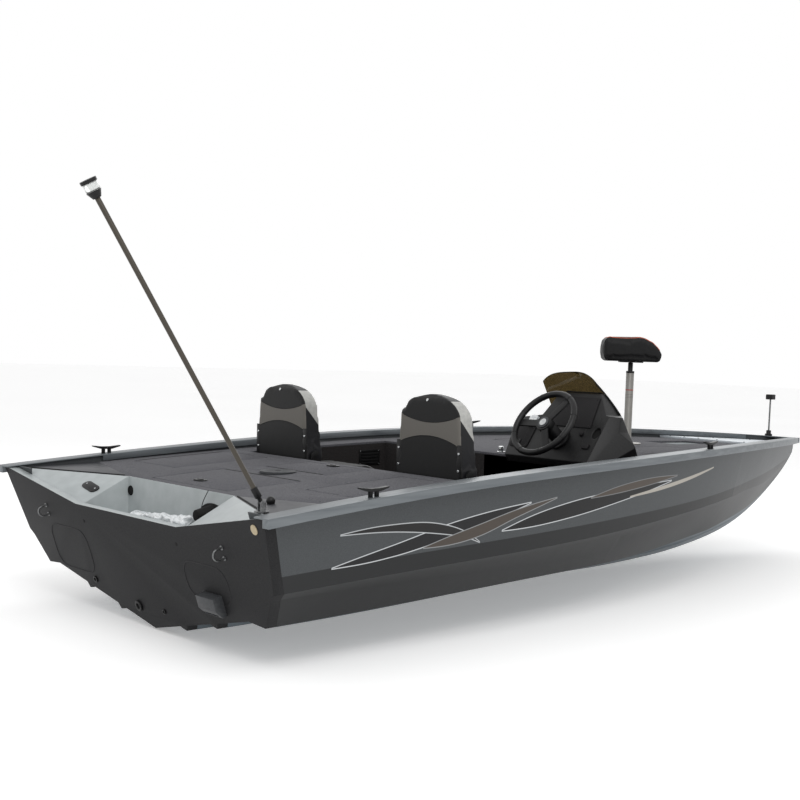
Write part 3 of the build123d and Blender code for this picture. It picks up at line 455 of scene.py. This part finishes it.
def tube(points, radius, cyclic=False, smooth=True):
    # a round bead or wire through points
    bpy.ops.curve.primitive_bezier_curve_add(location=(0, 0, 0))
    obj = bpy.context.object
    spline = obj.data.splines[0]
    spline.bezier_points.add(len(points) - 2)
    for spot, point in zip(spline.bezier_points, points):
        spot.co = point
        spot.handle_left_type = spot.handle_right_type = "AUTO" if smooth else "VECTOR"
    spline.use_cyclic_u = cyclic
    obj.data.bevel_depth = radius
    obj.data.bevel_resolution = 3
    obj.data.resolution_u = 6
    obj.data.use_fill_caps = not cyclic
    activate(obj)
    bpy.ops.object.convert(target="MESH")
    obj = bpy.context.object
    soften(obj, 0)
    return obj


def joined(*objs):
    activate(*objs)
    bpy.ops.object.join()
    return bpy.context.view_layer.objects.active


def copied(obj, matrix=None):
    twin = bpy.data.objects.new(obj.name, obj.data.copy())
    bpy.context.scene.collection.objects.link(twin)
    if matrix is not None:
        twin.data.transform(matrix)
    return twin


def screwHead(radius=0.006, height=0.003):
    # a domed head with a cross slot
    head = drum(radius, height, height * 0.6, 20)
    for turn in (0, math.pi / 2):
        bpy.ops.mesh.primitive_cube_add(size=1, location=(0, 0, height), rotation=(0, 0, turn))
        cutter = bpy.context.object
        cutter.scale = (radius * 1.2, radius * 0.22, height * 0.9)
        applyModifier(head, "BOOLEAN", object=cutter, operation="DIFFERENCE", solver="EXACT")
        bpy.data.objects.remove(cutter)
    return head


def scatter(model, name, spots, material, body, slot, sink=0.0003):
    # copies of a small model, each standing on a spot given by point and normal, joined into one piece
    copies = [copied(model, standing(Vector(point) - Vector(normal) * sink, normal)) for point, normal in spots]
    piece = joined(*copies)
    return place(piece, name, material, body, slot)


# hull and transom
print("hull")
hullNodes = [name for name in nodes if name.startswith("hull_")]
dress("hullSkin", hullNodes, hullPaint, 0.0, flatten=False)
transom = dress("transomPlate", ["transom"], transomPaint, 0.0015)
paintFaces(transom, linerPaint, lambda centre, normal: normal.z > 0.6)
dress("gunwaleCaps", ["gunwales"], gunwaleMetal, 0.0024, 3, flatten=False)
dress("bowCapPlate", ["bow_cap"], gunwaleMetal, 0.0024, 3, flatten=False)

# decks and liner
print("decks")
dress("splashwellBasin", ["splashwell"], linerPaint, 0.0012)
dress("quarterPlates", ["quarter_plates"], darkPlate, 0.001)
for member in ("aft_deck", "bow_deck", "side_decks"):
    dress(member + "Carpet", [member], carpet, 0.002)
for member in [name for name in nodes if name.startswith("hatch_") and name != "hatch_hinges"]:
    dress(member + "Carpet", [member], carpet, 0.003)
# the cockpit walls, floor and seat bases take the carpet with painted shade
dress("cockpitSideCarpet", ["cockpit_walls"], shadedCarpet, 0.0)
dress("cockpitFloorCarpet", ["cockpit_floor"], shadedCarpet, 0.0)
dress("seatBaseCarpet", ["seat_bases"], shadedCarpet, 0.008, 3)
dress("pedalTray", ["pedal_tray"], linerPaint, 0.001)
dress("bowPlates", ["bow_plates"], bowMetal, 0.001)
dress("lockerTubs", ["locker_tubs"], linerPaint, 0.0)

# plain fittings keep the CAD shape with softened edges
finishOf = {
    "pedestal_socket": (greyPlastic, 0.002), "cleats": (blackPlastic, 0.0015), "tie_downs": (steelRod, 0.0),
    "drains": (blackPlastic, 0.0015), "sonar_cover": (greyPlastic, 0.003), "blank_disc": (beige, 0.0008),
    "quarter_fittings": (blackPlastic, 0.0015), "rigging_boot": (rubber, 0.0015),
    "stern_light_base": (steelRod, 0.001), "bow_light_base": (blackPlastic, 0.002),
    "bow_light_stem": (steelRod, 0.0), "bow_light_head": (blackPlastic, 0.004),
    "seat_hinges": (blackPlastic, 0.003), "console_body": (consoleShell, 0.006),
    "dash_panels": (panelPlastic, 0.0012), "helm_column": (blackPlastic, 0.003),
    "windscreen": (smoked, 0.0012), "pedestal_post": (postMetal, 0.002), "side_grille": (blackPlastic, 0.001),
    "wheel_rim": (wheelGrip, 0.0), "wheel_spokes": (blackPlastic, 0.002), "stern_light_pole": (tubeMetal, 0.001),
    "stern_light_lamp": (lens, 0.0015), "pedestal_tube": (blackPlastic, 0.001),
    "butt_seat_plate": (blackPlastic, 0.001), "latch_battery": (blackPlastic, 0.001),
    "latch_livewell": (blackPlastic, 0.001), "hatch_hinges": (blackPlastic, 0.0), "wrapped_bundle": (film, 0.004),
    "key_pouch": (film, 0.004), "seat_cushions": (blackVinyl, 0.02), "butt_seat_pad": (blackVinyl, 0.012),
    "seat_back_port": (seatVinyl, 0.0), "seat_back_starboard": (seatVinyl, 0.0),
}
pieces = {}
for member, (material, width) in finishOf.items():
    name = "".join(part.capitalize() for part in member.split("_"))
    pieces[member] = dress(name[0].lower() + name[1:], [member], material, width, 3 if width > 0.003 else 2)


# details are set on the CAD surfaces, so their places come from rays cast at the nodes
def roundedLoop(width, height, radius, steps=5):
    # points round a flat outline with arc corners, measured from its middle
    points = []
    for corner, (sideX, sideY) in enumerate(((1, 1), (-1, 1), (-1, -1), (1, -1))):
        for i in range(steps + 1):
            turn = math.pi / 2 * (corner + i / steps)
            points.append((sideX * (width / 2 - radius) + radius * math.cos(turn),
                           sideY * (height / 2 - radius) + radius * math.sin(turn)))
    return points


def beadOn(name, node, starts, direction, radius, material, cyclic=False, sink=0.4, smooth=True):
    # a raised line that follows a CAD surface under a row of points
    points = []
    for start in starts:
        point, normal = surfaceHit(node, start, direction)
        points.append(point - normal * radius * sink)
    return place(tube(points, radius, cyclic, smooth), name, material, bodyOf[node], slotOf[node])


def oblong(length, width, height, bevel=0.0):
    # a flat piece with round ends, lying along x
    obj = drum(width / 2, height)
    for side in (1, -1):
        for vertex in obj.data.vertices:
            vertex.select = vertex.co.x * side > width / 100
        for face in obj.data.polygons:
            face.select = False
        bpy.ops.object.mode_set(mode="EDIT")
        bpy.ops.transform.translate(value=(side * (length - width) / 2, 0, 0))
        bpy.ops.object.mode_set(mode="OBJECT")
    soften(obj, bevel)
    return obj


def ringModel(radius, thick):
    bpy.ops.mesh.primitive_torus_add(major_radius=radius, minor_radius=thick, major_segments=40,
                                     minor_segments=10)
    ring = bpy.context.object
    bpy.ops.object.shade_smooth()
    return ring


screw = screwHead()
smallScrew = screwHead(0.004, 0.002)
models = [screw, smallScrew]
ahead, down = Vector((1, 0, 0)), Vector((0, 0, -1))
hullBody, fittingSlot = bodyOf["transom"], slotOf["quarter_fittings"]

# pressed beads and slots of the transom
print("transom details")
pressed = {"port": (0.571, 0.111, 0.336, 0.190), "starboard": (-0.532, 0.126, 0.301, 0.145), "corner": 0.062,
           "bead": 0.0045, "slotY": 0.375, "slotZ": 0.255, "slotLength": 0.062, "slotWidth": 0.015}
for side in ("port", "starboard"):
    y, z, width, height = pressed[side]
    starts = [(-1, y + u, z + v) for u, v in roundedLoop(width, height, pressed["corner"])]
    beadOn(side + "TransomBead", "transom", starts, ahead, pressed["bead"], transomPaint, True, 0.5)
slotModel = oblong(pressed["slotLength"], pressed["slotWidth"], 0.0016)
models.append(slotModel)
slotSpots = [surfaceHit("transom", (-1, s * pressed["slotY"], pressed["slotZ"]), ahead) for s in (1, -1)]
scatter(slotModel, "transomSlots", slotSpots, rubber, hullBody, slotOf["transom"])

# splashwell: a through fitting, cover screws, edge trims, a tie's tail and the crumpled wrapping
well = {"ringY": 0.397, "ringZ": 0.372, "ring": 0.017, "coverX": 0.153, "coverY": 0.504, "coverScrew": 0.036,
        "trim": 0.005, "trimLow": (0.062, 0.972), "trimHigh": (0.276, 0.442), "trimShift": 0.006,
        "tail": 0.0016}
point, normal = surfaceHit("splashwell", (0.2, well["ringY"], well["ringZ"]), ahead)
ring = joined(ringModel(well["ring"], 0.005), drum(well["ring"], 0.003))
place(ring, "throughFitting", rubber, hullBody, fittingSlot, standing(point, normal))
coverSpots = [surfaceHit("quarter_fittings", (well["coverX"], well["coverY"] + s * well["coverScrew"], 1), down)
              for s in (1, -1)]
scatter(smallScrew, "coverScrews", coverSpots, chrome, hullBody, fittingSlot)
for side, word in ((1, "port"), (-1, "starboard")):
    (lowX, lowY), (highX, highY) = well["trimLow"], well["trimHigh"]
    starts = []
    for i in range(9):
        share = i / 8
        x, y = lowX + (highX - lowX) * share, lowY + (highY - lowY) * share
        starts.append((x + well["trimShift"], side * (y + well["trimShift"]), 1))
    beadOn(word + "EdgeTrim", "quarter_plates", starts, down, well["trim"], rubber, sink=0.1)
tail = tube([(0.247, -0.236, 0.352), (0.250, -0.250, 0.395), (0.266, -0.262, 0.440)], well["tail"])
place(tail, "tieTail", rubber, hullBody, slotOf["rigging_boot"])


def crumple(obj, voxel, size, depth):
    # folds of a thin wrapping, pushed in and out of an evenly meshed copy
    clouds = bpy.data.textures.new("folds", "CLOUDS")
    clouds.noise_scale = size
    clouds.noise_depth = 3
    applyModifier(obj, "REMESH", mode="VOXEL", voxel_size=voxel)
    applyModifier(obj, "DISPLACE", texture=clouds, strength=depth, mid_level=0.62, texture_coords="LOCAL")
    activate(obj)
    bpy.ops.object.shade_smooth_by_angle(angle=math.radians(50))


crumple(pieces["wrapped_bundle"], 0.005, 0.045, 0.050)
bundle = {"thick": 0.86, "thin": 0.42}  # share of its height left at the starboard and the port end
bundleLow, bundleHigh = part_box("wrapped_bundle")
for vertex in pieces["wrapped_bundle"].data.vertices:
    share = min(max((vertex.co.y - bundleLow[1]) / (bundleHigh[1] - bundleLow[1]), 0), 1)
    height = bundle["thick"] + (bundle["thin"] - bundle["thick"]) * share
    vertex.co.z = bundleLow[2] + (vertex.co.z - bundleLow[2]) * height
crumple(pieces["key_pouch"], 0.0025, 0.016, 0.014)

# stern light: black collar, lamp in three parts and a wing bolt
print("lights")
sternLight = {"lean": math.radians(30.3), "heading": math.radians(170.6), "collarEnd": 0.064, "cone": 0.024,
              "glass": 0.052, "pinBelowTop": 0.010}
lightLow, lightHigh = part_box("stern_light_base")
fold = Vector((math.sin(sternLight["heading"]), -math.cos(sternLight["heading"]), 0))
poleReach = math.sin(sternLight["lean"])
poleDirection = Vector((poleReach * math.cos(sternLight["heading"]), poleReach * math.sin(sternLight["heading"]),
                        math.cos(sternLight["lean"])))
pin = Vector(((lightLow[0] + lightHigh[0]) / 2, (lightLow[1] + lightHigh[1]) / 2,
              lightHigh[2] - sternLight["pinBelowTop"]))
paintFaces(pieces["stern_light_pole"], blackPlastic,
           lambda centre, normal: (centre - pin).dot(poleDirection) < sternLight["collarEnd"] + 0.001)
lampStart = min((vertex.co - pin).dot(poleDirection) for vertex in pieces["stern_light_lamp"].data.vertices)


def blackLamp(centre, normal):
    along = (centre - pin).dot(poleDirection) - lampStart
    return along < sternLight["cone"] or along > sternLight["glass"]


paintFaces(pieces["stern_light_lamp"], blackPlastic, blackLamp)
wing = joined(oblong(0.040, 0.015, 0.004, 0.001), drum(0.007, 0.009, 0.001))
wingPlace = standing(pin + fold * 0.013, fold, math.radians(60))
place(wing, "wingBolt", chrome, bodyOf["stern_light_base"], slotOf["stern_light_base"], wingPlace)

# soft goods: a slightly smaller even mesh swells in a short cloth run, no point moves past its cap, and each
# pad stays flat where it rests; the three values of a pad are its inset, cap and fill
print("soft goods")
soft = {"voxel": 0.006, "pressure": 4.0, "steps": 20, "boreRadius": 0.0105,
        "pads": {"seat_cushions": (0.006, 0.018, 0.8), "butt_seat_pad": (0.003, 0.005, 0.9),
                 "seat_back_port": (0.002, 0.0035, 0.95), "seat_back_starboard": (0.002, 0.0035, 0.95)}}
postX = sum(corner[0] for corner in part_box("pedestal_tube")) / 2


dome = {"half": 0.195, "foot": 0.731, "rise": 0.112}  # the crown of a seat back, above its shoulders


def onDome(point):
    # a point outside a seat back's elliptical crown comes back to it
    centre = math.copysign(seat["centre"], point.y)
    across, rise = point.y - centre, point.z - dome["foot"]
    reach = math.hypot(across / dome["half"], rise / dome["rise"])
    if rise > 0 and reach > 1:
        return Vector((point.x, centre + across / reach, dome["foot"] + rise / reach))
    return point


def swell(obj, node, inset, cap):
    applyModifier(obj, "DISPLACE", strength=-inset, mid_level=0.0)
    applyModifier(obj, "REMESH", mode="VOXEL", voxel_size=soft["voxel"])
    if node.startswith("seat_back"):
        for vertex in obj.data.vertices:
            vertex.co = onDome(vertex.co)
        applyModifier(obj, "REMESH", mode="VOXEL", voxel_size=soft["voxel"])
    rest = [vertex.co.copy() for vertex in obj.data.vertices]
    activate(obj)
    cloth = obj.modifiers.new("swelling", "CLOTH")
    cloth.settings.use_pressure = True
    cloth.settings.uniform_pressure_force = soft["pressure"]
    cloth.settings.effector_weights.gravity = 0
    for moment in range(1, soft["steps"] + 1):
        bpy.context.scene.frame_set(moment)
    bpy.ops.object.modifier_apply(modifier=cloth.name)
    bpy.context.scene.frame_set(1)
    low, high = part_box(node)
    for vertex, start in zip(obj.data.vertices, rest):
        move = vertex.co - start
        if move.length > cap:
            vertex.co = start + move.normalized() * cap
        vertex.co.x = max(vertex.co.x, low[0])
        vertex.co.z = max(vertex.co.z, low[2])
        fromTube = Vector((vertex.co.x - postX, vertex.co.y, 0))
        if node == "butt_seat_pad" and 0 < fromTube.length < soft["boreRadius"]:
            vertex.co += fromTube * (soft["boreRadius"] / fromTube.length - 1)
    applyModifier(obj, "SUBSURF", levels=1, render_levels=1)
    activate(obj)
    bpy.ops.object.shade_smooth()
    trees[node] = treeOf(obj.data)


for node, (inset, cap, fill) in soft["pads"].items():
    swell(pieces[node], node, inset, cap)

# seat backs: stud, seams, straps with screws
print("seats")
trims = {"studDrop": 0.031, "studSide": 0.012, "strapWidth": 0.030, "strapLow": 0.480, "strapHigh": 0.632,
         "screwLow": 0.523, "screwHigh": 0.595, "inset": 0.019, "seam": 0.0019, "halfLow": 0.213,
         "crownHalf": 0.168, "archHalf": 0.188}
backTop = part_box("seat_back_port")[1][2]
stud = drum(0.007, 0.004, 0.0015)
strap = box((0.003, trims["strapWidth"], trims["strapHigh"] - trims["strapLow"]), 0.0012)
models += [stud, strap]
for side, word in ((1, "port"), (-1, "starboard")):
    node = "seat_back_" + word
    middle = side * seat["centre"]
    rows = {"crownSeam": (seat["crown"], seat["crownSag"], trims["crownHalf"]),
            "archSeam": (seat["arch"], -seat["archDrop"], trims["archHalf"])}
    for row, (height, rise, half) in rows.items():
        starts = []
        for i in range(15):
            y = (i - 7) / 7 * half
            starts.append((1, middle + y, height + rise * (y / seat["half"]) ** 2))
        beadOn(word + row[0].upper() + row[1:], node, starts, ahead, trims["seam"], blackVinyl, sink=0.3)
    spot = surfaceHit(node, (1, middle + trims["studSide"], backTop - trims["studDrop"]), ahead)
    scatter(stud, word + "Stud", [spot], chrome, bodyOf[node], slotOf[node])
    straps, screws = [], []
    for edge in (1, -1):
        y = middle + edge * (trims["halfLow"] - trims["inset"])
        point, normal = surfaceHit(node, (1, y, (trims["strapLow"] + trims["strapHigh"]) / 2), ahead)
        straps.append(copied(strap, Matrix.Translation(point - Vector((0.0004, 0, 0)))))
        screws += [(Vector((point.x - 0.0018, y, z)), Vector((-1, 0, 0))) for z in
                   (trims["screwLow"], trims["screwHigh"])]
    place(joined(*straps), word + "Straps", blackPlastic, bodyOf[node], slotOf[node])
    scatter(screw, word + "StrapScrews", screws, chrome, bodyOf[node], slotOf[node])

# steering wheel: hub cap and grip seams
print("helm")
lean = math.radians(35)
dashOut = Vector((-math.cos(lean), 0, math.sin(lean)))
dashUp = Vector((math.sin(lean), 0, math.cos(lean)))
dashSide = Vector((0, -1, 0))
rimLow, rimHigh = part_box("wheel_rim")
wheelCentre = Vector([(a + b) / 2 for a, b in zip(rimLow, rimHigh)])
helm = {"grip": 0.015, "seam": 0.0012, "seams": (18, 58, 122, 162, 205, 250, 292, 335), "hub": 0.030,
        "cap": 0.019, "hubStand": 0.004}
rimRadius = (rimHigh[1] - rimLow[1]) / 2 - helm["grip"]
dashTurn = Matrix((dashSide, dashUp, dashOut)).transposed().to_4x4()
seams = []
for angle in helm["seams"]:
    turn = Matrix.Translation(wheelCentre) @ dashTurn @ Matrix.Rotation(math.radians(angle), 4, "Z")
    seamPlace = turn @ Matrix.Translation((rimRadius, 0, 0)) @ Matrix.Rotation(math.pi / 2, 4, "X")
    model = ringModel(helm["grip"], helm["seam"])
    activate(model)
    model.data.transform(seamPlace)
    seams.append(model)
place(joined(*seams), "gripSeams", rubber, bodyOf["wheel_rim"], slotOf["wheel_rim"])
hubTop = Matrix.Translation(wheelCentre + dashOut * helm["hubStand"]) @ dashTurn
hubRing = drum(helm["hub"], 0.005, 0.0015)
place(hubRing, "hubRing", greyPlastic, bodyOf["wheel_rim"], slotOf["wheel_spokes"], hubTop)
hubCap = drum(helm["cap"], 0.0075, 0.002)
place(hubCap, "hubCap", chrome, bodyOf["wheel_rim"], slotOf["wheel_spokes"], hubTop)

# console: border lines, screws, switches, screen trims
print("console")
trimRadius = {"panel": 0.0011, "border": 0.0016, "screen": 0.0045, "screenEdge": 0.004}
dashFoot = 0.535
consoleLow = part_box("console_body")[0]


def dashStart(centre, across, rise):
    # a point in front of the leaning face, from a spot on it and two distances along it
    y, z = centre
    foot = Vector((consoleLow[0] + (z - dashFoot) * math.tan(lean), y, z))
    return foot + dashSide * across + dashUp * rise + dashOut * 0.2


recess = {"drop": 0.203, "z": 0.667, "halfWidth": 0.026, "halfHeight": 0.034, "rim": 0.0035}
recessPoint = dashStart((wheelCentre.y - recess["drop"], recess["z"]), 0, 0) - dashOut * 0.2


def inRecess(centre, normal):
    away = centre - recessPoint
    across, rise = away.dot(dashSide) / recess["halfWidth"], away.dot(dashUp) / recess["halfHeight"]
    return away.dot(dashOut) < -recess["rim"] and across ** 2 + rise ** 2 < 1


paintFaces(pieces["console_body"], rubber, inRecess)
gauge = {"centre": (-0.540, 0.750),
         "corners": ((-0.136, -0.068), (0.134, -0.068), (0.110, 0.081), (-0.086, 0.081))}
spots = [surfaceHit("dash_panels", dashStart(gauge["centre"], u, v), -dashOut) for u, v in gauge["corners"]]
leftPanel = {"centre": (-0.292, 0.635), "screws": (0.048, 0.062), "line": (0.104, 0.134, 0.012), "joint": 0.018}
spots += [surfaceHit("dash_panels", dashStart(leftPanel["centre"], su * leftPanel["screws"][0],
                                              sv * leftPanel["screws"][1]), -dashOut)
          for su in (1, -1) for sv in (1, -1)]
scatter(smallScrew, "dashScrews", spots, blackPlastic, bodyOf["dash_panels"], slotOf["dash_panels"])
starts = [dashStart(leftPanel["centre"], u, v) for u, v in roundedLoop(*leftPanel["line"], 4)]
beadOn("leftPanelLine", "dash_panels", starts, -dashOut, trimRadius["panel"], blackPlastic, True)
starts = [dashStart(leftPanel["centre"], leftPanel["joint"], v) for v in (-0.066, -0.02, 0.02, 0.066)]
beadOn("leftPanelJoint", "dash_panels", starts, -dashOut, trimRadius["panel"], blackPlastic)
border = ((-0.655, 0.842), (-0.686, 0.778), (-0.722, 0.740), (-0.716, 0.700), (-0.672, 0.690), (-0.676, 0.640),
          (-0.694, 0.590), (-0.690, 0.552))
starts = [Vector((consoleLow[0] + (z - dashFoot) * math.tan(lean), y, z)) + dashOut * 0.2 for y, z in border]
beadOn("dashBorder", "console_body", starts, -dashOut, trimRadius["border"], blackPlastic, sink=0.2)
switch = box((0.014, 0.022, 0.010), 0.002)
models.append(switch)
spots = [surfaceHit("dash_panels", dashStart(leftPanel["centre"], u, -0.045), -dashOut) for u in (-0.022, 0.0)]
switches = [copied(switch, Matrix.Translation(point) @ dashTurn) for point, normal in spots]
place(joined(*switches), "dashSwitches", blackPlastic, bodyOf["dash_panels"], slotOf["dash_panels"])
screenTrim = ((-0.345, 0.806), (-0.400, 0.848), (-0.625, 0.848), (-0.735, 0.760))
starts = []
for (y, z), (nextY, nextZ) in zip(screenTrim, screenTrim[1:]):
    starts += [(1.6, y + (nextY - y) * i / 8, z + (nextZ - z) * i / 8) for i in range(8)]
beadOn("screenTrim", "windscreen", starts, ahead, trimRadius["screen"], rubber, sink=0.0)
screenEdge = ((-0.604, 0.893), (-0.640, 0.857), (-0.690, 0.807), (-0.744, 0.754))
starts = [(1.6, y, z) for y, z in screenEdge]
beadOn("screenEdge", "windscreen", starts, ahead, trimRadius["screenEdge"], rubber, sink=0.0)

# butt seat: piping, and the pedestal's collar, ring and marks
print("butt seat")
piping = {"heading": math.radians(-44), "start": -0.148, "end": 0.150, "half": 0.084, "radius": 0.0028,
          "points": 22}
for side, word in ((1, "port"), (-1, "starboard")):
    starts = []
    for i in range(piping["points"]):
        along = piping["start"] + (piping["end"] - piping["start"]) * i / (piping["points"] - 1)
        x = postX + along * math.cos(piping["heading"]) - side * piping["half"] * math.sin(piping["heading"])
        y = along * math.sin(piping["heading"]) + side * piping["half"] * math.cos(piping["heading"])
        starts.append((x, y, 3))
    beadOn(word + "SeatPiping", "butt_seat_pad", starts, down, piping["radius"], orange, sink=0.1)
post = {"collar": 0.0235, "collarHeight": 0.012, "ringDrop": 0.108, "marks": (0.131, 0.140, 0.149)}
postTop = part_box("pedestal_post")[1][2]
for name, drop, height, material in [("postCollar", 0.010, post["collarHeight"], blackPlastic),
                                     ("postRing", post["ringDrop"], 0.006, redRing)]:
    band = drum(post["collar"] - (0 if name == "postCollar" else 0.0007), height, 0.001)
    place(band, name, material, bodyOf["pedestal_post"], slotOf["pedestal_post"],
          Matrix.Translation((postX, 0, postTop - drop)))
markModel = ringModel(0.0226, 0.0006)
models.append(markModel)
marks = [copied(markModel, Matrix.Translation((postX, 0, postTop - drop))) for drop in post["marks"]]
place(joined(*marks), "postMarks", greyPlastic, bodyOf["pedestal_post"], slotOf["pedestal_post"])

# small fittings of the decks, bow plates and side grille
print("deck fittings")
bowScrews = [(4.050, y) for y in (-0.36, -0.20, 0.0, 0.14, 0.25, 0.36)]
bowScrews += [(4.32, 0.22), (4.32, -0.22), (4.56, 0.10), (4.56, -0.10)]
spots = [surfaceHit("bow_plates", (x, y, 1), down) for x, y in bowScrews]
scatter(screw, "bowPlateScrews", spots, blackPlastic, bodyOf["bow_plates"], slotOf["bow_plates"])
point, normal = surfaceHit("bow_deck", (2.103, -0.056, 1), down)
vent = joined(drum(0.022, 0.004, 0.0015), drum(0.013, 0.030, 0.003), oblong(0.036, 0.022, 0.012, 0.004))
place(vent, "deckButton", chrome, bodyOf["bow_deck"], slotOf["bow_deck"], standing(point, normal))
grilleLow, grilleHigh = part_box("side_grille")
grilleInset = 0.006
grilleSpots = []
for x in (grilleLow[0] + grilleInset, grilleHigh[0] - grilleInset):
    for z in (grilleLow[2] + grilleInset, grilleHigh[2] - grilleInset):
        grilleSpots.append(surfaceHit("side_grille", (x, 0.5, z), (0, 1, 0)))
scatter(smallScrew, "grilleScrews", grilleSpots, chrome, bodyOf["side_grille"], slotOf["side_grille"])
for model in models:
    bpy.data.objects.remove(model)

# camera, light and floor
print("studio")
view = {"place": (-2.3768, -4.5328, 0.9998), "azimuth": 0.7998, "pitch": 0.1018, "roll": 0.0348, "lens": 56.05,
        "shift": (-0.1019, 0.1062)}
bpy.ops.object.camera_add(location=view["place"])
camera = bpy.context.object
az, pitch, roll = view["azimuth"], view["pitch"], view["roll"]
forward = Vector((math.cos(az) * math.cos(pitch), math.sin(az) * math.cos(pitch), -math.sin(pitch)))
right = Vector((math.sin(az), -math.cos(az), 0))
up = right.cross(forward)
tiltedRight = math.cos(roll) * right + math.sin(roll) * up
tiltedUp = -math.sin(roll) * right + math.cos(roll) * up
turned = Matrix((tiltedRight, tiltedUp, -forward)).transposed().to_4x4()
camera.matrix_world = Matrix.Translation(view["place"]) @ turned
camera.data.lens = view["lens"]
camera.data.sensor_width = 36
camera.data.shift_x, camera.data.shift_y = view["shift"]
camera.data.clip_end = 200
bpy.context.scene.camera = camera

studio = {"dome": 0.72, "key": 250, "keySize": 5, "fill": 80, "fillSize": 4, "floorDrop": 0.004}
world = bpy.data.worlds.new("studioDome")
bpy.context.scene.world = world
world.use_nodes = True
tree = world.node_tree
rays = addNode(tree, "ShaderNodeLightPath")
seen = calc(tree, "MAXIMUM", rays.outputs["Is Camera Ray"], calc(
    tree, "MAXIMUM", rays.outputs["Is Glossy Ray"], rays.outputs["Is Transmission Ray"]))
strength = addNode(tree, "ShaderNodeMapRange", {"Value": seen, "To Min": studio["dome"], "To Max": 1.0})
background = tree.nodes["Background"]
background.inputs["Color"].default_value = linear("#ffffff")
tree.links.new(strength.outputs[0], background.inputs["Strength"])
for spot, power, size in (((-1.5, -5.0, 6.5), studio["key"], studio["keySize"]),
                          ((6.5, 3.5, 4.0), studio["fill"], studio["fillSize"])):
    bpy.ops.object.light_add(type="AREA", location=spot)
    lamp = bpy.context.object
    lamp.data.energy, lamp.data.size = power, size
    lamp.rotation_mode = "QUATERNION"
    lamp.rotation_quaternion = (Vector((2.2, 0, 0.2)) - Vector(spot)).to_track_quat("-Z", "Y")

bpy.ops.mesh.primitive_plane_add(size=120, location=(2, 0, cadLow.z - studio["floorDrop"]))
floor = bpy.context.object
floor.name = "studioFloor"
floorMaterial = makeMaterial("matteStudioFloor", ("#f4f4f4", "#f8f8f8"), 0.9, 0.0, 4000, (),
                             sockets={"Emission Color": linear("#ffffff"), "Emission Strength": 0.27})
floor.data.materials.append(floorMaterial)
scene = bpy.context.scene
scene.view_settings.view_transform = "Standard"
